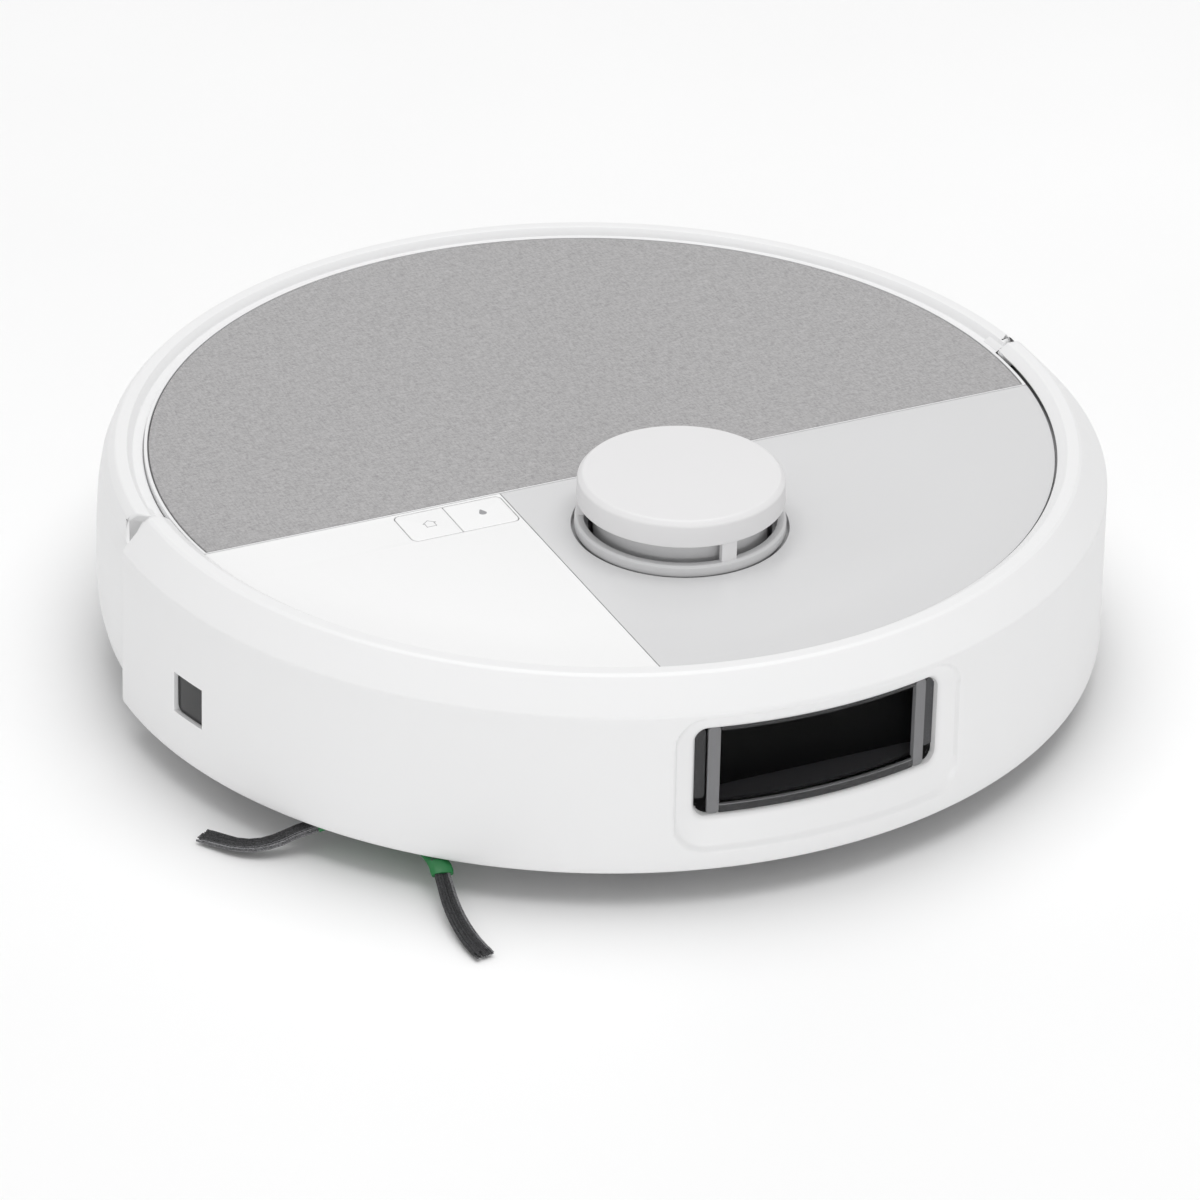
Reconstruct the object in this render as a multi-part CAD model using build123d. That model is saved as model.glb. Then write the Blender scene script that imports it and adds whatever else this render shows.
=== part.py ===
from build123d import *
import os

os.makedirs("parts", exist_ok=True)

# Robot vacuum with two spinning mop pads.  Millimetres, +Z up, -Y is the
# driving direction, origin on the floor under the middle of the body.

# ---- driving dimensions -------------------------------------------------
R_BUMP = 175.0        # outer radius of the bumper at its lower edge
R_WALL = 174.4        # outer radius at the top of the vertical wall
Z_LOW = 12.0          # ground clearance of the bumper
Z_WALL = 70.7         # top of the vertical wall
Z_LID = 78.5          # plane of the lid
R_LID = 156.0         # radius of the lid disc
Y_SPLIT = -21.0       # line between rear cover and front panels
X_SPLIT = -47.0       # line between white and grey front panels
Y_BUMP_END = 4.5      # where the bumper ends at the sides
BUMP_TRAVEL = 2.5     # push of the bumper
Y_REAR = 7.4          # where the rear shell starts
R_FLOOR = 166.0       # chassis floor
Z_FLOOR0, Z_FLOOR1 = 14.0, 17.0
R_CW0, R_CW1 = 161.5, 164.0   # chassis wall
LIDAR = (0.0, -64.0)
R_CAP = 35.2
Z_CAP = 98.1
ROLL_Y, ROLL_Z, ROLL_R = -8.0, 20.0, 19.0
WHEEL_R, WHEEL_Y = 35.0, 0.0
PIVOT_Y, PIVOT_Z = 38.0, 40.0
MOP_X, MOP_Y, MOP_R = 60.5, 84.0, 58.0
MOP_LIFT = 7.0
CAST_Y = -128.0
HUB = (-116.5, -104.0)
BRUSH_L = 70.5
BRUSH_ANGLES = (150.0, 270.0, 30.0)
FAN = (100.0, 84.0)
CONTACT_X = 97.0
WIN_X = 1.75

SOLIDS = {}


def keep(name, shape):
    SOLIDS[name] = shape


def bx(x0, x1, y0, y1, z0, z1):
    return Pos((x0 + x1) / 2, (y0 + y1) / 2, (z0 + z1) / 2) * Box(
        x1 - x0, y1 - y0, z1 - z0
    )


def cz(x, y, r, z0, z1):
    return Pos(x, y, (z0 + z1) / 2) * Cylinder(r, z1 - z0)


def cx(y, z, r, x0, x1):
    return Pos((x0 + x1) / 2, y, z) * Rot(0, 90, 0) * Cylinder(r, x1 - x0)


def ring(x, y, r0, r1, z0, z1):
    return cz(x, y, r1, z0, z1) - cz(x, y, r0, z0 - 1, z1 + 1)


def lathe(pts):
    face = Plane.XZ * make_face(Polyline(*pts, close=True))
    return revolve(face, Axis.Z, 360)


def sector(r0, r1, half, z0, z1):
    """Piece of a ring at the front window, half = half width in X."""
    return ring(0, 0, r0, r1, z0, z1) & bx(WIN_X - half, WIN_X + half, -200, -60, z0, z1)


def at(phi, r, z, w, d, h):
    """Box w wide, d deep, h high on the direction phi degrees from the front."""
    return Rot(0, 0, phi) * Pos(0, -r, z) * Box(w, d, h)


def mirror_x(s):
    return mirror(s, about=Plane.YZ)


# ---- bumper --------------------------------------------------------------
BUMPER = [
    (R_BUMP - 0.7, Z_LOW), (R_BUMP, Z_LOW + 1.2), (R_WALL, Z_WALL - 1.5),
    (R_WALL - 0.6, Z_WALL + 0.4), (165.3, 81.0), (164.3, 81.8), (160.4, 81.8),
    (159.6, 81.4), (156.8, 79.5), (156.8, 79.0), (162.9, 79.0),
    (171.9, 69.0), (172.5, 14.5), (169.5, 14.5), (169.5, Z_LOW),
]
bumper = lathe(BUMPER) & bx(-200, 200, -200, Y_BUMP_END, 0, 100)
bumper += sector(168.3, 173.5, 55, 18.5, 70)
bumper -= sector(171.2, 180, 50, 23, 67)
bumper -= sector(160, 180, 45.5, 30, 64)
bumper -= at(-76, 173, 37, 15.5, 12, 15)
keep("bumper_shell", bumper)
keep("window_frame", sector(168.4, 170.2, 45.3, 30.2, 63.8)
     - sector(160, 180, 36.2, 33.4, 61.8))
keep("sensor_window", sector(170.2, 171.0, 45.3, 30.2, 63.8))
keep("side_sensor", at(-76, 172.9, 37, 15.3, 3.6, 14.8))

# ---- rear shell ----------------------------------------------------------
REAR = [
    (171.2, 18), (172.5, 26), (173, 36), (172.7, 50), (171.8, 64), (170.6, 71),
    (168.8, 75.8), (166.4, 78.9), (165.6, 79.4), (161.8, 79.4), (159.9, 76.8),
    (156.4, 76.6), (156.4, 75.6), (163.5, 75.6), (167.6, 71.0), (169.2, 63.5),
    (170.2, 50), (170.5, 36), (170.0, 26), (168.7, 18),
]
rear = lathe(REAR) & bx(-200, 200, Y_REAR, 200, 0, 100)
for s in (1, -1):
    rear -= bx(s * CONTACT_X - 9, s * CONTACT_X + 9, 128, 170, 23, 39)
for k in range(9):
    rear -= at(118 + 2.6 * k, 171, 52, 3.2, 12, 14)
# tongues that back the seams to the bumper
notch = extrude(make_face(Polyline((161, 7), (176, 7), (176, 17.5), close=True)), 20)
for w in (notch, mirror_x(notch)):
    rear -= Pos(0, 0, 71) * w
tongue = lathe([(158.6, 75.6), (158.6, 76.6), (161.0, 78.2), (162.6, 78.4), (168.6, 71.6), (168.6, 32),
                (166.4, 32), (165.4, 66), (163.5, 75.6)])
tongue &= bx(-200, -120, -2, 17, 0, 100) + bx(120, 200, -2, 17, 0, 100)
tongue -= cz(0, 0, 168.7, 10, 40.5)
keep("rear_shell", rear + tongue)

# ---- chassis -------------------------------------------------------------
ch = cz(0, 0, R_FLOOR, Z_FLOOR0, Z_FLOOR1)
ch += ring(0, 0, R_CW1, 168.3, Z_FLOOR0, 40) & bx(-200, 200, 9, 200, 0, 60)
# ceiling over the mop pads, with a raised box for the mop drive
hull = bx(-MOP_X, MOP_X, MOP_Y - 62, MOP_Y + 62, Z_FLOOR0, 20.2)
for s in (1, -1):
    hull += cz(s * MOP_X, MOP_Y, 62, Z_FLOOR0, 20.2)
hull = hull & cz(0, 0, 168.3, 0, 60)
ch += hull
ch += bx(-88, 88, MOP_Y - 20, MOP_Y + 20, 20, 34.2)
for s in (1, -1):
    ch += bx(s * CONTACT_X - 9, s * CONTACT_X + 9, 124, 134.5, Z_FLOOR1, 40) & cz(0, 0, R_CW0, 0, 60)
# openings
for s in (1, -1):
    x0, x1 = sorted((s * 97.5, s * 131.5))
    ch -= bx(x0, x1, -40, 46, 10, 21)
cut = bx(-MOP_X, MOP_X, MOP_Y - 60, MOP_Y + 60, 10, 17.8)
for s in (1, -1):
    cut += cz(s * MOP_X, MOP_Y, 60, 10, 17.8)
ch -= cut
ch -= bx(-86, 86, MOP_Y - 18.5, MOP_Y + 18.5, 17, 32)
ch -= bx(-91, 91, -34, 18, 10, 20)
ch -= cz(0, CAST_Y, 24.5, 10, 33.6)
ch -= cz(HUB[0], HUB[1], 4.0, 10, 20)
CLIFF = (-72, -20, 20, 62)
for phi in CLIFF:
    ch -= at(phi, 152, 15, 14.4, 8.4, 8)
for s in (1, -1):
    ch -= bx(s * CONTACT_X - 9, s * CONTACT_X + 9, 134.5, 170, 23, 39)
keep("base_chassis", ch)

wall = ring(0, 0, R_CW0, R_CW1, Z_FLOOR1, 72.5) + ring(0, 0, 150, R_CW1, 70.0, 72.5)
wall -= bx(-44, 47.5, -170, -150, 28, 68)
for s in (1, -1):
    wall -= bx(s * CONTACT_X - 9, s * CONTACT_X + 9, 134.5, 170, 23, 39)
wall -= cz(HUB[0], HUB[1], 13, Z_FLOOR1, 60)
wall -= hull
keep("chassis_wall", wall)

# housings over the drive wheels and the caster
hs = []
for s in (1, -1):
    x0, x1 = sorted((s * 95.5, s * 133.5))
    w0, w1 = sorted((s * 97.5, s * 131.5))
    box = bx(x0, x1, -42, 48, Z_FLOOR1, 72.5) - bx(w0, w1, -40, 46, 10, 71.0)
    hs.append(box - cx(PIVOT_Y, PIVOT_Z, 2.56, -140, 140) - hull)
cup = cz(0, CAST_Y, 27, Z_FLOOR1, 36) - cz(0, CAST_Y, 24.5, 10, 33.6)
cup += cz(0, CAST_Y, 8, 36, 44)
cup -= cz(0, CAST_Y, 4.05, 30, 46)
hs.append(cup)
keep("wheel_housings", Compound(hs))

cl = [at(phi, 152, 16.6, 14.2, 8.2, 5.6) for phi in CLIFF]
keep("cliff_sensors", Compound(cl))
screws = []
for x, y in ((84, -126), (-84, -126), (140, -62), (86, -60), (-72, -60), (146, 60), (-146, 60), (-30, -96)):
    screws.append(cz(x, y, 3.2, 12.6, 14.0))
keep("chassis_screws", Compound(screws))
cc = [bx(s * CONTACT_X - 7, s * CONTACT_X + 7, 134.5, 136, 25, 37) for s in (1, -1)]
keep("charging_contacts", Compound(cc))
sw = [at(phi, 165.8, 30, 12, 3.0, 9) + at(phi, 167.9, 33, 9, 1.3, 3) for phi in (-38, 38)]
sp = []
for phi in (-58, 58):
    sp.append(at(phi, 165.4, 50, 5, 2.4, 6) + at(phi, 167.0, 50, 22, 0.9, 6) + at(phi, 168.6, 50, 5, 2.4, 6))
keep("bumper_switches", Compound(sw + sp))

# ---- deck and lid --------------------------------------------------------
deck = cz(0, 0, 158, 72.5, 75.5)
deck -= cz(LIDAR[0], LIDAR[1], 34.2, 70, 80)
deck -= bx(-61, 61.5, 38, 132, 70, 80)
BUT = {"home_button": (-87.0, -69.15), "clean_button": (-68.85, -48.2)}
for x0, x1 in BUT.values():
    deck -= cz((x0 + x1) / 2, -31.5, 3, 70, 80)
keep("top_deck", deck)

lid = cz(0, 0, R_LID, 75.5, Z_LID)
white = lid & bx(-200, X_SPLIT - 0.12, -200, Y_SPLIT - 0.15, 70, 90)
white -= bx(-87.25, -47.95, -40.75, -22.25, 70, 90)
keep("white_panel", white)
grey = lid & bx(X_SPLIT + 0.12, 200, -200, Y_SPLIT - 0.15, 70, 90)
grey -= cz(LIDAR[0], LIDAR[1], 34.2, 70, 90)
keep("grey_panel", grey)
for n, (x0, x1) in BUT.items():
    keep(n, bx(x0, x1, -40.5, -22.5, 76.3, Z_LID) + cz((x0 + x1) / 2, -31.5, 2.2, 71.6, 77))
board = bx(-90, -44, -43, -20, 66, 67.2)
for x0, x1 in BUT.values():
    board += bx((x0 + x1) / 2 - 3, (x0 + x1) / 2 + 3, -34.5, -28.5, 67.2, 70.7)
keep("button_board", board)

cover = cz(0, 0, R_LID, 75.8, Z_LID) & bx(-200, 200, Y_SPLIT + 0.15, 200, 70, 90)
cover -= cz(0, 0, 154.4, 77.7, 80) & bx(-200, 200, Y_SPLIT + 0.6, 200, 70, 90)
keep("cover_frame", cover)
keep("fabric_panel", cz(0, 0, 154.3, 77.7, Z_LID) & bx(-200, 200, Y_SPLIT + 0.7, 200, 70, 90))

# ---- lidar turret --------------------------------------------------------
LX, LY = LIDAR
base = ring(LX, LY, 31, 34, 52, 78.0) + cz(LX, LY, 34, 50.6, 52.6) + cz(LX, LY, 4, 52, 68)
keep("lidar_base", base)
keep("lidar_collar", ring(LX, LY, 33.1, 36.0, Z_LID, 81.6))
cap = cz(LX, LY, R_CAP, 89.0, Z_CAP) - cz(LX, LY, 32.6, 80, 95.6)
cap = chamfer(cap.edges().group_by(Axis.Z)[-1], 1.6)
cap += ring(LX, LY, 29.8, 32.8, 78.05, 82.3)
for phi in (2.5, 122.5, 242.5):
    cap += (ring(LX, LY, 30.9, 34.0, 82.0, 89.6)
            & (Pos(LX, LY, 86) * Rot(0, 0, phi) * Pos(0, -32, 0) * Box(5.2, 8, 10)))
keep("lidar_cap", cap)
rotor = cz(LX, LY, 29.3, 58, 94) - cz(LX, LY, 4.05, 57, 68.6)
rotor -= bx(LX - 9, LX + 9, LY - 32, LY - 22, 83, 91)
keep("lidar_rotor", rotor)
keep("lidar_motor", ring(LX, LY, 4.2, 16, 52.6, 57.4))

# ---- electronics ---------------------------------------------------------
mb = bx(-125, -52, -92, -48, 60, 61.6)
for x, y, w, d, h in ((-100, -70, 14, 14, 2.5), (-75, -78, 10, 12, 2), (-66, -58, 8, 8, 5), (-112, -56, 12, 6, 6)):
    mb += bx(x - w / 2, x + w / 2, y - d / 2, y + d / 2, 61.6, 61.6 + h)
keep("main_board", mb)
keep("battery_pack", bx(36, 104, -118, -66, 17, 42))
cam = bx(WIN_X - 28, WIN_X + 28, -152.5, -147, 36, 62)
for x in (-17, 0, 17):
    cam += Pos(WIN_X + x, -153.2, 49) * Rot(90, 0, 0) * Cylinder(5, 1.8)
keep("camera_module", cam)

# ---- dust bin and air path ----------------------------------------------
db = bx(-58, 54, 40, 130, 34.5, 70.3) - bx(-56, 52, 42, 128, 36.5, 80)
db -= bx(-30, 30, 38, 44, 46, 60)
db -= bx(50, 56, 62, 106, 42, 66)
keep("dust_bin", db)
keep("bin_lid", bx(-58, 54, 40, 130, 70.3, 72.3) + (bx(-20, 16, 60, 78, 72.3, 74.6) - bx(-16, 12, 62.5, 75.5, 72.8, 76)))
keep("filter_frame", bx(54, 60, 60, 108, 40, 68) - bx(53, 61, 63, 105, 43, 65))
keep("filter", bx(54.6, 59.4, 63, 105, 43, 65))
keep("air_duct", bx(-33, 33, 17.4, 39.6, 43, 63) - bx(-30.5, 30.5, 17, 40, 45.5, 60.5))

FX, FY = FAN
bh = cz(FX, FY, 27, 35, 69) + bx(61.8, 84, 66, 102, 43, 65)
bh -= cz(FX, FY, 25, 37, 54)
bh -= bx(60, 84, 68.5, 99.5, 45, 63) & (bx(60, 84, 60, 110, 40, 70) - cz(FX, FY, 25.0, 54, 70))
bh -= cz(FX, FY, 12.5, 53, 69)
bh -= Rot(0, 0, 0) * bx(FX + 8, FX + 18, FY + 12, FY + 40, 40, 52)
keep("blower_housing", bh)
keep("blower_motor", cz(FX, FY, 12.4, 54.5, 68.5) + cz(FX, FY, 1.5, 38.5, 54.5))
imp = cz(FX, FY, 21, 39, 41) + cz(FX, FY, 5, 41, 52)
for k in range(9):
    imp += Pos(FX, FY, 45.5) * Rot(0, 0, 40 * k) * Pos(12.5, 0, 0) * Box(16, 1.2, 9)
imp -= cz(FX, FY, 1.55, 38, 56)
keep("fan_impeller", imp)

# ---- cleaning head -------------------------------------------------------
hd = bx(-90, 90, -33, 17, 12, 46)
hd += bx(-32, 32, 3, 17, 44, 62)
hd -= cx(ROLL_Y, ROLL_Z, 22.5, -86, 86)
hd -= bx(-86, 86, -30.5, 14.5, 11, ROLL_Z)
hd -= bx(-29, 29, 5.5, 14.5, 30, 60)
hd -= bx(-29, 29, 5.5, 18, 46, 60)
hd -= cx(ROLL_Y, ROLL_Z, 3.05, -91, 91)
keep("brush_housing", hd)
keep("brush_guard", bx(-90, 90, -33, 17, 8.5, 12) - bx(-86, 86, -26, 10, 8, 12.5))
keep("brush_motor", cx(-50, 34, 13, 20, 76) + bx(76, 94, -63, -33, 20, 47))
keep("roller_core", cx(ROLL_Y, ROLL_Z, 9, -85.4, 85.4) + cx(ROLL_Y, ROLL_Z, 3, -89.6, 89.6))
fins = cx(ROLL_Y, ROLL_Z, 12, -84, 84)
for k in range(6):
    fins += Pos(0, ROLL_Y, ROLL_Z) * Rot(60 * k, 0, 0) * Pos(0, 0, -15) * Box(168, 1.8, 7.6)
fins = (fins & cx(ROLL_Y, ROLL_Z, ROLL_R, -84, 84)) - cx(ROLL_Y, ROLL_Z, 9, -90, 90)
keep("roller_fins", fins)

# ---- drive wheels --------------------------------------------------------
arm = cx(PIVOT_Y, PIVOT_Z, 7, 98.2, 102.8) + cx(WHEEL_Y, 35, 15, 98.2, 121)
arm += bx(98.2, 102.8, 0, 38, 28, 46)
arm += cx(WHEEL_Y, 35, 3, 120, 127) + cx(PIVOT_Y, PIVOT_Z, 2.5, 95.5, 133.5)
hub = cx(WHEEL_Y, 35, 28, 108, 128) - cx(WHEEL_Y, 35, 16.5, 107, 122.5) - cx(WHEEL_Y, 35, 3.05, 120, 127.4)
for k in range(5):
    a = Pos(0, WHEEL_Y, 35) * Rot(72 * k, 0, 0)
    hub -= a * Pos(127, 0, 17) * Rot(0, 90, 0) * Cylinder(5.5, 6)
tyre = cx(WHEEL_Y, 35, WHEEL_R, 107.5, 128.5) - cx(WHEEL_Y, 35, 28, 107, 129)
tyre = chamfer(tyre.edges().filter_by(GeomType.CIRCLE).sort_by(lambda e: e.radius)[-2:], 1.6)
for side, f in (("left", lambda s: s), ("right", mirror_x)):
    keep("wheel_arm_" + side, f(arm))
    keep("wheel_hub_" + side, f(hub))
    keep("tyre_" + side, f(tyre))
spring = cx(PIVOT_Y, PIVOT_Z, 4.6, 103.2, 107) - cx(PIVOT_Y, PIVOT_Z, 2.8, 100, 110)
keep("arm_springs", Compound([spring, mirror_x(spring)]))

# ---- caster --------------------------------------------------------------
WY, WR = CAST_Y + 6, 13.0
fork = cz(0, CAST_Y, 17, 29.6, 32.8) + cz(0, CAST_Y, 4, 32, 43.5)
for s in (1, -1):
    x0, x1 = sorted((s * 9.3, s * 11.8))
    fork += bx(x0, x1, WY - 5, WY + 5, 8.5, 30)
fork += cx(WY, WR, 1.5, -11.8, 11.8)
keep("caster_fork", fork)
cw = cx(WY, WR, WR, -8.8, 8.8) - cx(WY, WR, 1.55, -10, 10)
cw = chamfer(cw.edges().filter_by(GeomType.CIRCLE).sort_by(lambda e: e.radius)[-2:], 1.5)
keep("caster_wheel", cw)

# ---- side brush ----------------------------------------------------------
HX, HY = HUB
keep("brush_hub", cz(HX, HY, 9, 9.0, 13.4) + cz(HX, HY, 3, 13, 22))
arms, bris = [], []
for a in BRUSH_ANGLES:
    loc = Pos(HX, HY, 0) * Rot(0, 0, a)
    arms.append(loc * bx(9.05, 30, -3.6, 3.6, 8.6, 11.8))
    prof = Plane.XZ * make_face(Polyline(
        (30, 8.8), (30, 11.4), (48, 8.2), (60, 4.6), (BRUSH_L, 2.6), (BRUSH_L, 0.6), (60, 2.2), (48, 5.6), close=True))
    bris.append(loc * (Pos(0, 3.5, 0) * extrude(prof, 7)))
keep("brush_arms", Compound(arms))
keep("brush_bristles", Compound(bris))
ux, uy = -HX / 156.2, -HY / 156.2
sm = cz(HX, HY, 9.5, 17.0, 30) - cz(HX, HY, 3.05, 16, 23)
sm += cz(HX + 20 * ux, HY + 20 * uy, 11, 17.2, 46)
keep("side_brush_motor", sm)

# ---- mop module ----------------------------------------------------------
mc = bx(-84, 84, MOP_Y - 17, MOP_Y + 17, 10.3, 24.3)
mc -= cx(MOP_Y, 17.3, 6.2, -30, 30)
for s in (1, -1):
    mc -= cz(s * MOP_X, MOP_Y, 4.05, 9, 20.4)
keep("mop_carriage", mc)
keep("mop_motor", cx(MOP_Y, 17.3, 6.0, -29, 29))
for side, s in (("left", 1), ("right", -1)):
    keep("mop_plate_" + side, cz(s * MOP_X, MOP_Y, 56, 6.0, 9.6) + cz(s * MOP_X, MOP_Y, 4, 9, 20))
    keep("mop_pad_" + side, cz(s * MOP_X, MOP_Y, MOP_R, 0.0, 6.0))

for name, shape in SOLIDS.items():
    shape.label = name
    export_step(shape, "parts/" + name + ".step")
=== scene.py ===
import math
import random

import bmesh
import bpy
import numpy as np
from mathutils import Matrix, Vector


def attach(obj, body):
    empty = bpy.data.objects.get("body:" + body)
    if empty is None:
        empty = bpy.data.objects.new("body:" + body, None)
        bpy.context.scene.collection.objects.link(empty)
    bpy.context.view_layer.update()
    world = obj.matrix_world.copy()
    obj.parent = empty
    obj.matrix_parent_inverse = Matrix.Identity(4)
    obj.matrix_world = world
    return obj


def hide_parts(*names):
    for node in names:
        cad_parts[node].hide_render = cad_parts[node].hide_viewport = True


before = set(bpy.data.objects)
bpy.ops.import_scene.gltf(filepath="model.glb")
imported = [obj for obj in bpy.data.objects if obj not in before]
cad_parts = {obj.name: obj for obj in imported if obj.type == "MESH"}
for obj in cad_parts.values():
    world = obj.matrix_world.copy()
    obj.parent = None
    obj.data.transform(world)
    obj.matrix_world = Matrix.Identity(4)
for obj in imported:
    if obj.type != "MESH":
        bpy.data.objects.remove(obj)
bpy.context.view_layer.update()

MM = 0.001
scene = bpy.context.scene
rnd = random.Random(7)

# ------------------------------------------------------------------ camera
# the same standpoint as the picture: low three-quarter view from the front,
# on the robot's right-hand side
AZ, EL, DIST = math.radians(-25.54), math.radians(28.33), 2.3
ROLL = math.radians(1.227)
F_PX, CROP = 3129.0, 560.0


def make_camera():
    target = Vector((0, 0, 0.0785))
    back = Vector((math.sin(AZ) * math.cos(EL), -math.cos(AZ) * math.cos(EL), math.sin(EL)))
    f0 = -back
    r0 = Vector((math.cos(AZ), math.sin(AZ), 0))
    u0 = r0.cross(f0)
    right = r0 * math.cos(ROLL) + u0 * math.sin(ROLL)
    up = -r0 * math.sin(ROLL) + u0 * math.cos(ROLL)
    fwd = (f0 * F_PX + right * 0.15 - up * 74.56).normalized()
    right = fwd.cross(up).normalized()
    up = right.cross(fwd)
    cam = bpy.data.cameras.new("camera")
    cam.lens = 36.0 * F_PX / CROP
    cam.sensor_width = 36.0
    ob = bpy.data.objects.new("camera", cam)
    m = Matrix((right, up, -fwd)).transposed().to_4x4()
    m.translation = target + back * DIST
    ob.matrix_world = m
    cam.clip_start, cam.clip_end = 0.05, 50
    scene.collection.objects.link(ob)
    scene.camera = ob


make_camera()

# --------------------------------------------------------------- materials


class Nodes:
    """Small helper for building a node material."""

    def __init__(self, name):
        self.mat = bpy.data.materials.new(name)
        self.mat.use_nodes = True
        self.t = self.mat.node_tree
        self.t.nodes.clear()
        self.out = self.t.nodes.new("ShaderNodeOutputMaterial")
        self.bsdf = self.t.nodes.new("ShaderNodeBsdfPrincipled")
        self.t.links.new(self.bsdf.outputs[0], self.out.inputs[0])
        self.coord = self.t.nodes.new("ShaderNodeTexCoord").outputs["Object"]

    def node(self, kind, **props):
        n = self.t.nodes.new(kind)
        for k, v in props.items():
            setattr(n, k, v)
        return n

    def link(self, a, b):
        self.t.links.new(a, b)

    def noise(self, scale, detail=2.0, rough=0.5, vec=None):
        n = self.node("ShaderNodeTexNoise")
        n.inputs["Scale"].default_value = scale
        n.inputs["Detail"].default_value = detail
        n.inputs["Roughness"].default_value = rough
        self.link(vec or self.coord, n.inputs["Vector"])
        return n.outputs["Fac"]

    def ramp(self, fac, stops):
        n = self.node("ShaderNodeValToRGB")
        el = n.color_ramp.elements
        while len(el) > len(stops):
            el.remove(el[-1])
        while len(el) < len(stops):
            el.new(0.5)
        for e, (p, c) in zip(el, stops):
            e.position = p
            e.color = (*c, 1) if len(c) == 3 else c
        self.link(fac, n.inputs[0])
        return n.outputs["Color"]

    def math(self, op, a, b=None, clamp=False):
        n = self.node("ShaderNodeMath", operation=op, use_clamp=clamp)
        for i, v in enumerate((a, b)):
            if v is None:
                continue
            if isinstance(v, (int, float)):
                n.inputs[i].default_value = v
            else:
                self.link(v, n.inputs[i])
        return n.outputs[0]

    def range(self, fac, lo, hi, a=0.0, b=1.0):
        n = self.node("ShaderNodeMapRange")
        n.inputs["From Min"].default_value = a
        n.inputs["From Max"].default_value = b
        n.inputs["To Min"].default_value = lo
        n.inputs["To Max"].default_value = hi
        self.link(fac, n.inputs["Value"])
        return n.outputs[0]

    def bump(self, height, strength, distance, normal=None):
        n = self.node("ShaderNodeBump")
        n.inputs["Strength"].default_value = strength
        n.inputs["Distance"].default_value = distance
        self.link(height, n.inputs["Height"])
        if normal is not None:
            self.link(normal, n.inputs["Normal"])
        return n.outputs[0]

    def xyz(self):
        n = self.node("ShaderNodeSeparateXYZ")
        self.link(self.coord, n.inputs[0])
        return n.outputs

    def finish(self, color=None, rough=None, normal=None, **sockets):
        if color is not None:
            self.link(color, self.bsdf.inputs["Base Color"])
        if rough is not None:
            self.link(rough, self.bsdf.inputs["Roughness"])
        if normal is not None:
            self.link(normal, self.bsdf.inputs["Normal"])
        for k, v in sockets.items():
            self.bsdf.inputs[k.replace("_", " ")].default_value = v
        return self.mat


def shade(c, f):
    return tuple(min(1, max(0, x * f)) for x in c)


def plastic(name, color, rough=0.42, grain=2600.0, grain_depth=0.00001, spec=0.5, vary=0.02, coat=0.0, dust=0.0):
    """Moulded plastic: fine spark-eroded grain, faint flow variation, slightly uneven gloss."""
    n = Nodes(name)
    big = n.noise(18, 3, 0.55)
    col = n.ramp(big, [(0.3, shade(color, 1 - vary)), (0.7, shade(color, 1 + vary))])
    mid = n.noise(140, 4, 0.6)
    r = n.range(mid, rough * 0.92, rough * 1.08, 0.3, 0.7)
    nor = n.bump(n.noise(grain, 2, 0.6), 0.2, grain_depth) if grain else None
    return n.finish(col, r, nor, Specular_IOR_Level=spec, Coat_Weight=coat, Coat_Roughness=0.08)


def metal(name, color, rough=0.28, along="X"):
    n = Nodes(name)
    mp = n.node("ShaderNodeMapping")
    s = {"X": (60, 4000, 4000), "Y": (4000, 60, 4000), "Z": (4000, 4000, 60)}[along]
    mp.inputs["Scale"].default_value = s
    n.link(n.coord, mp.inputs[0])
    f = n.noise(1, 3, 0.6, mp.outputs[0])
    col = n.ramp(f, [(0.3, shade(color, 0.86)), (0.7, shade(color, 1.06))])
    r = n.range(f, rough * 0.8, rough * 1.3, 0.3, 0.7)
    nor = n.bump(f, 0.2, 0.00001)
    return n.finish(col, r, nor, Metallic=1.0)


def rubber(name, color, rough=0.62):
    n = Nodes(name)
    f = n.noise(900, 4, 0.7)
    g = n.noise(40, 3, 0.5)
    col = n.ramp(g, [(0.3, shade(color, 0.8)), (0.7, shade(color, 1.3))])
    r = n.range(f, rough * 0.85, min(1, rough * 1.15), 0.3, 0.7)
    nor = n.bump(f, 0.35, 0.00004)
    return n.finish(col, r, nor, Specular_IOR_Level=0.35)


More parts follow.
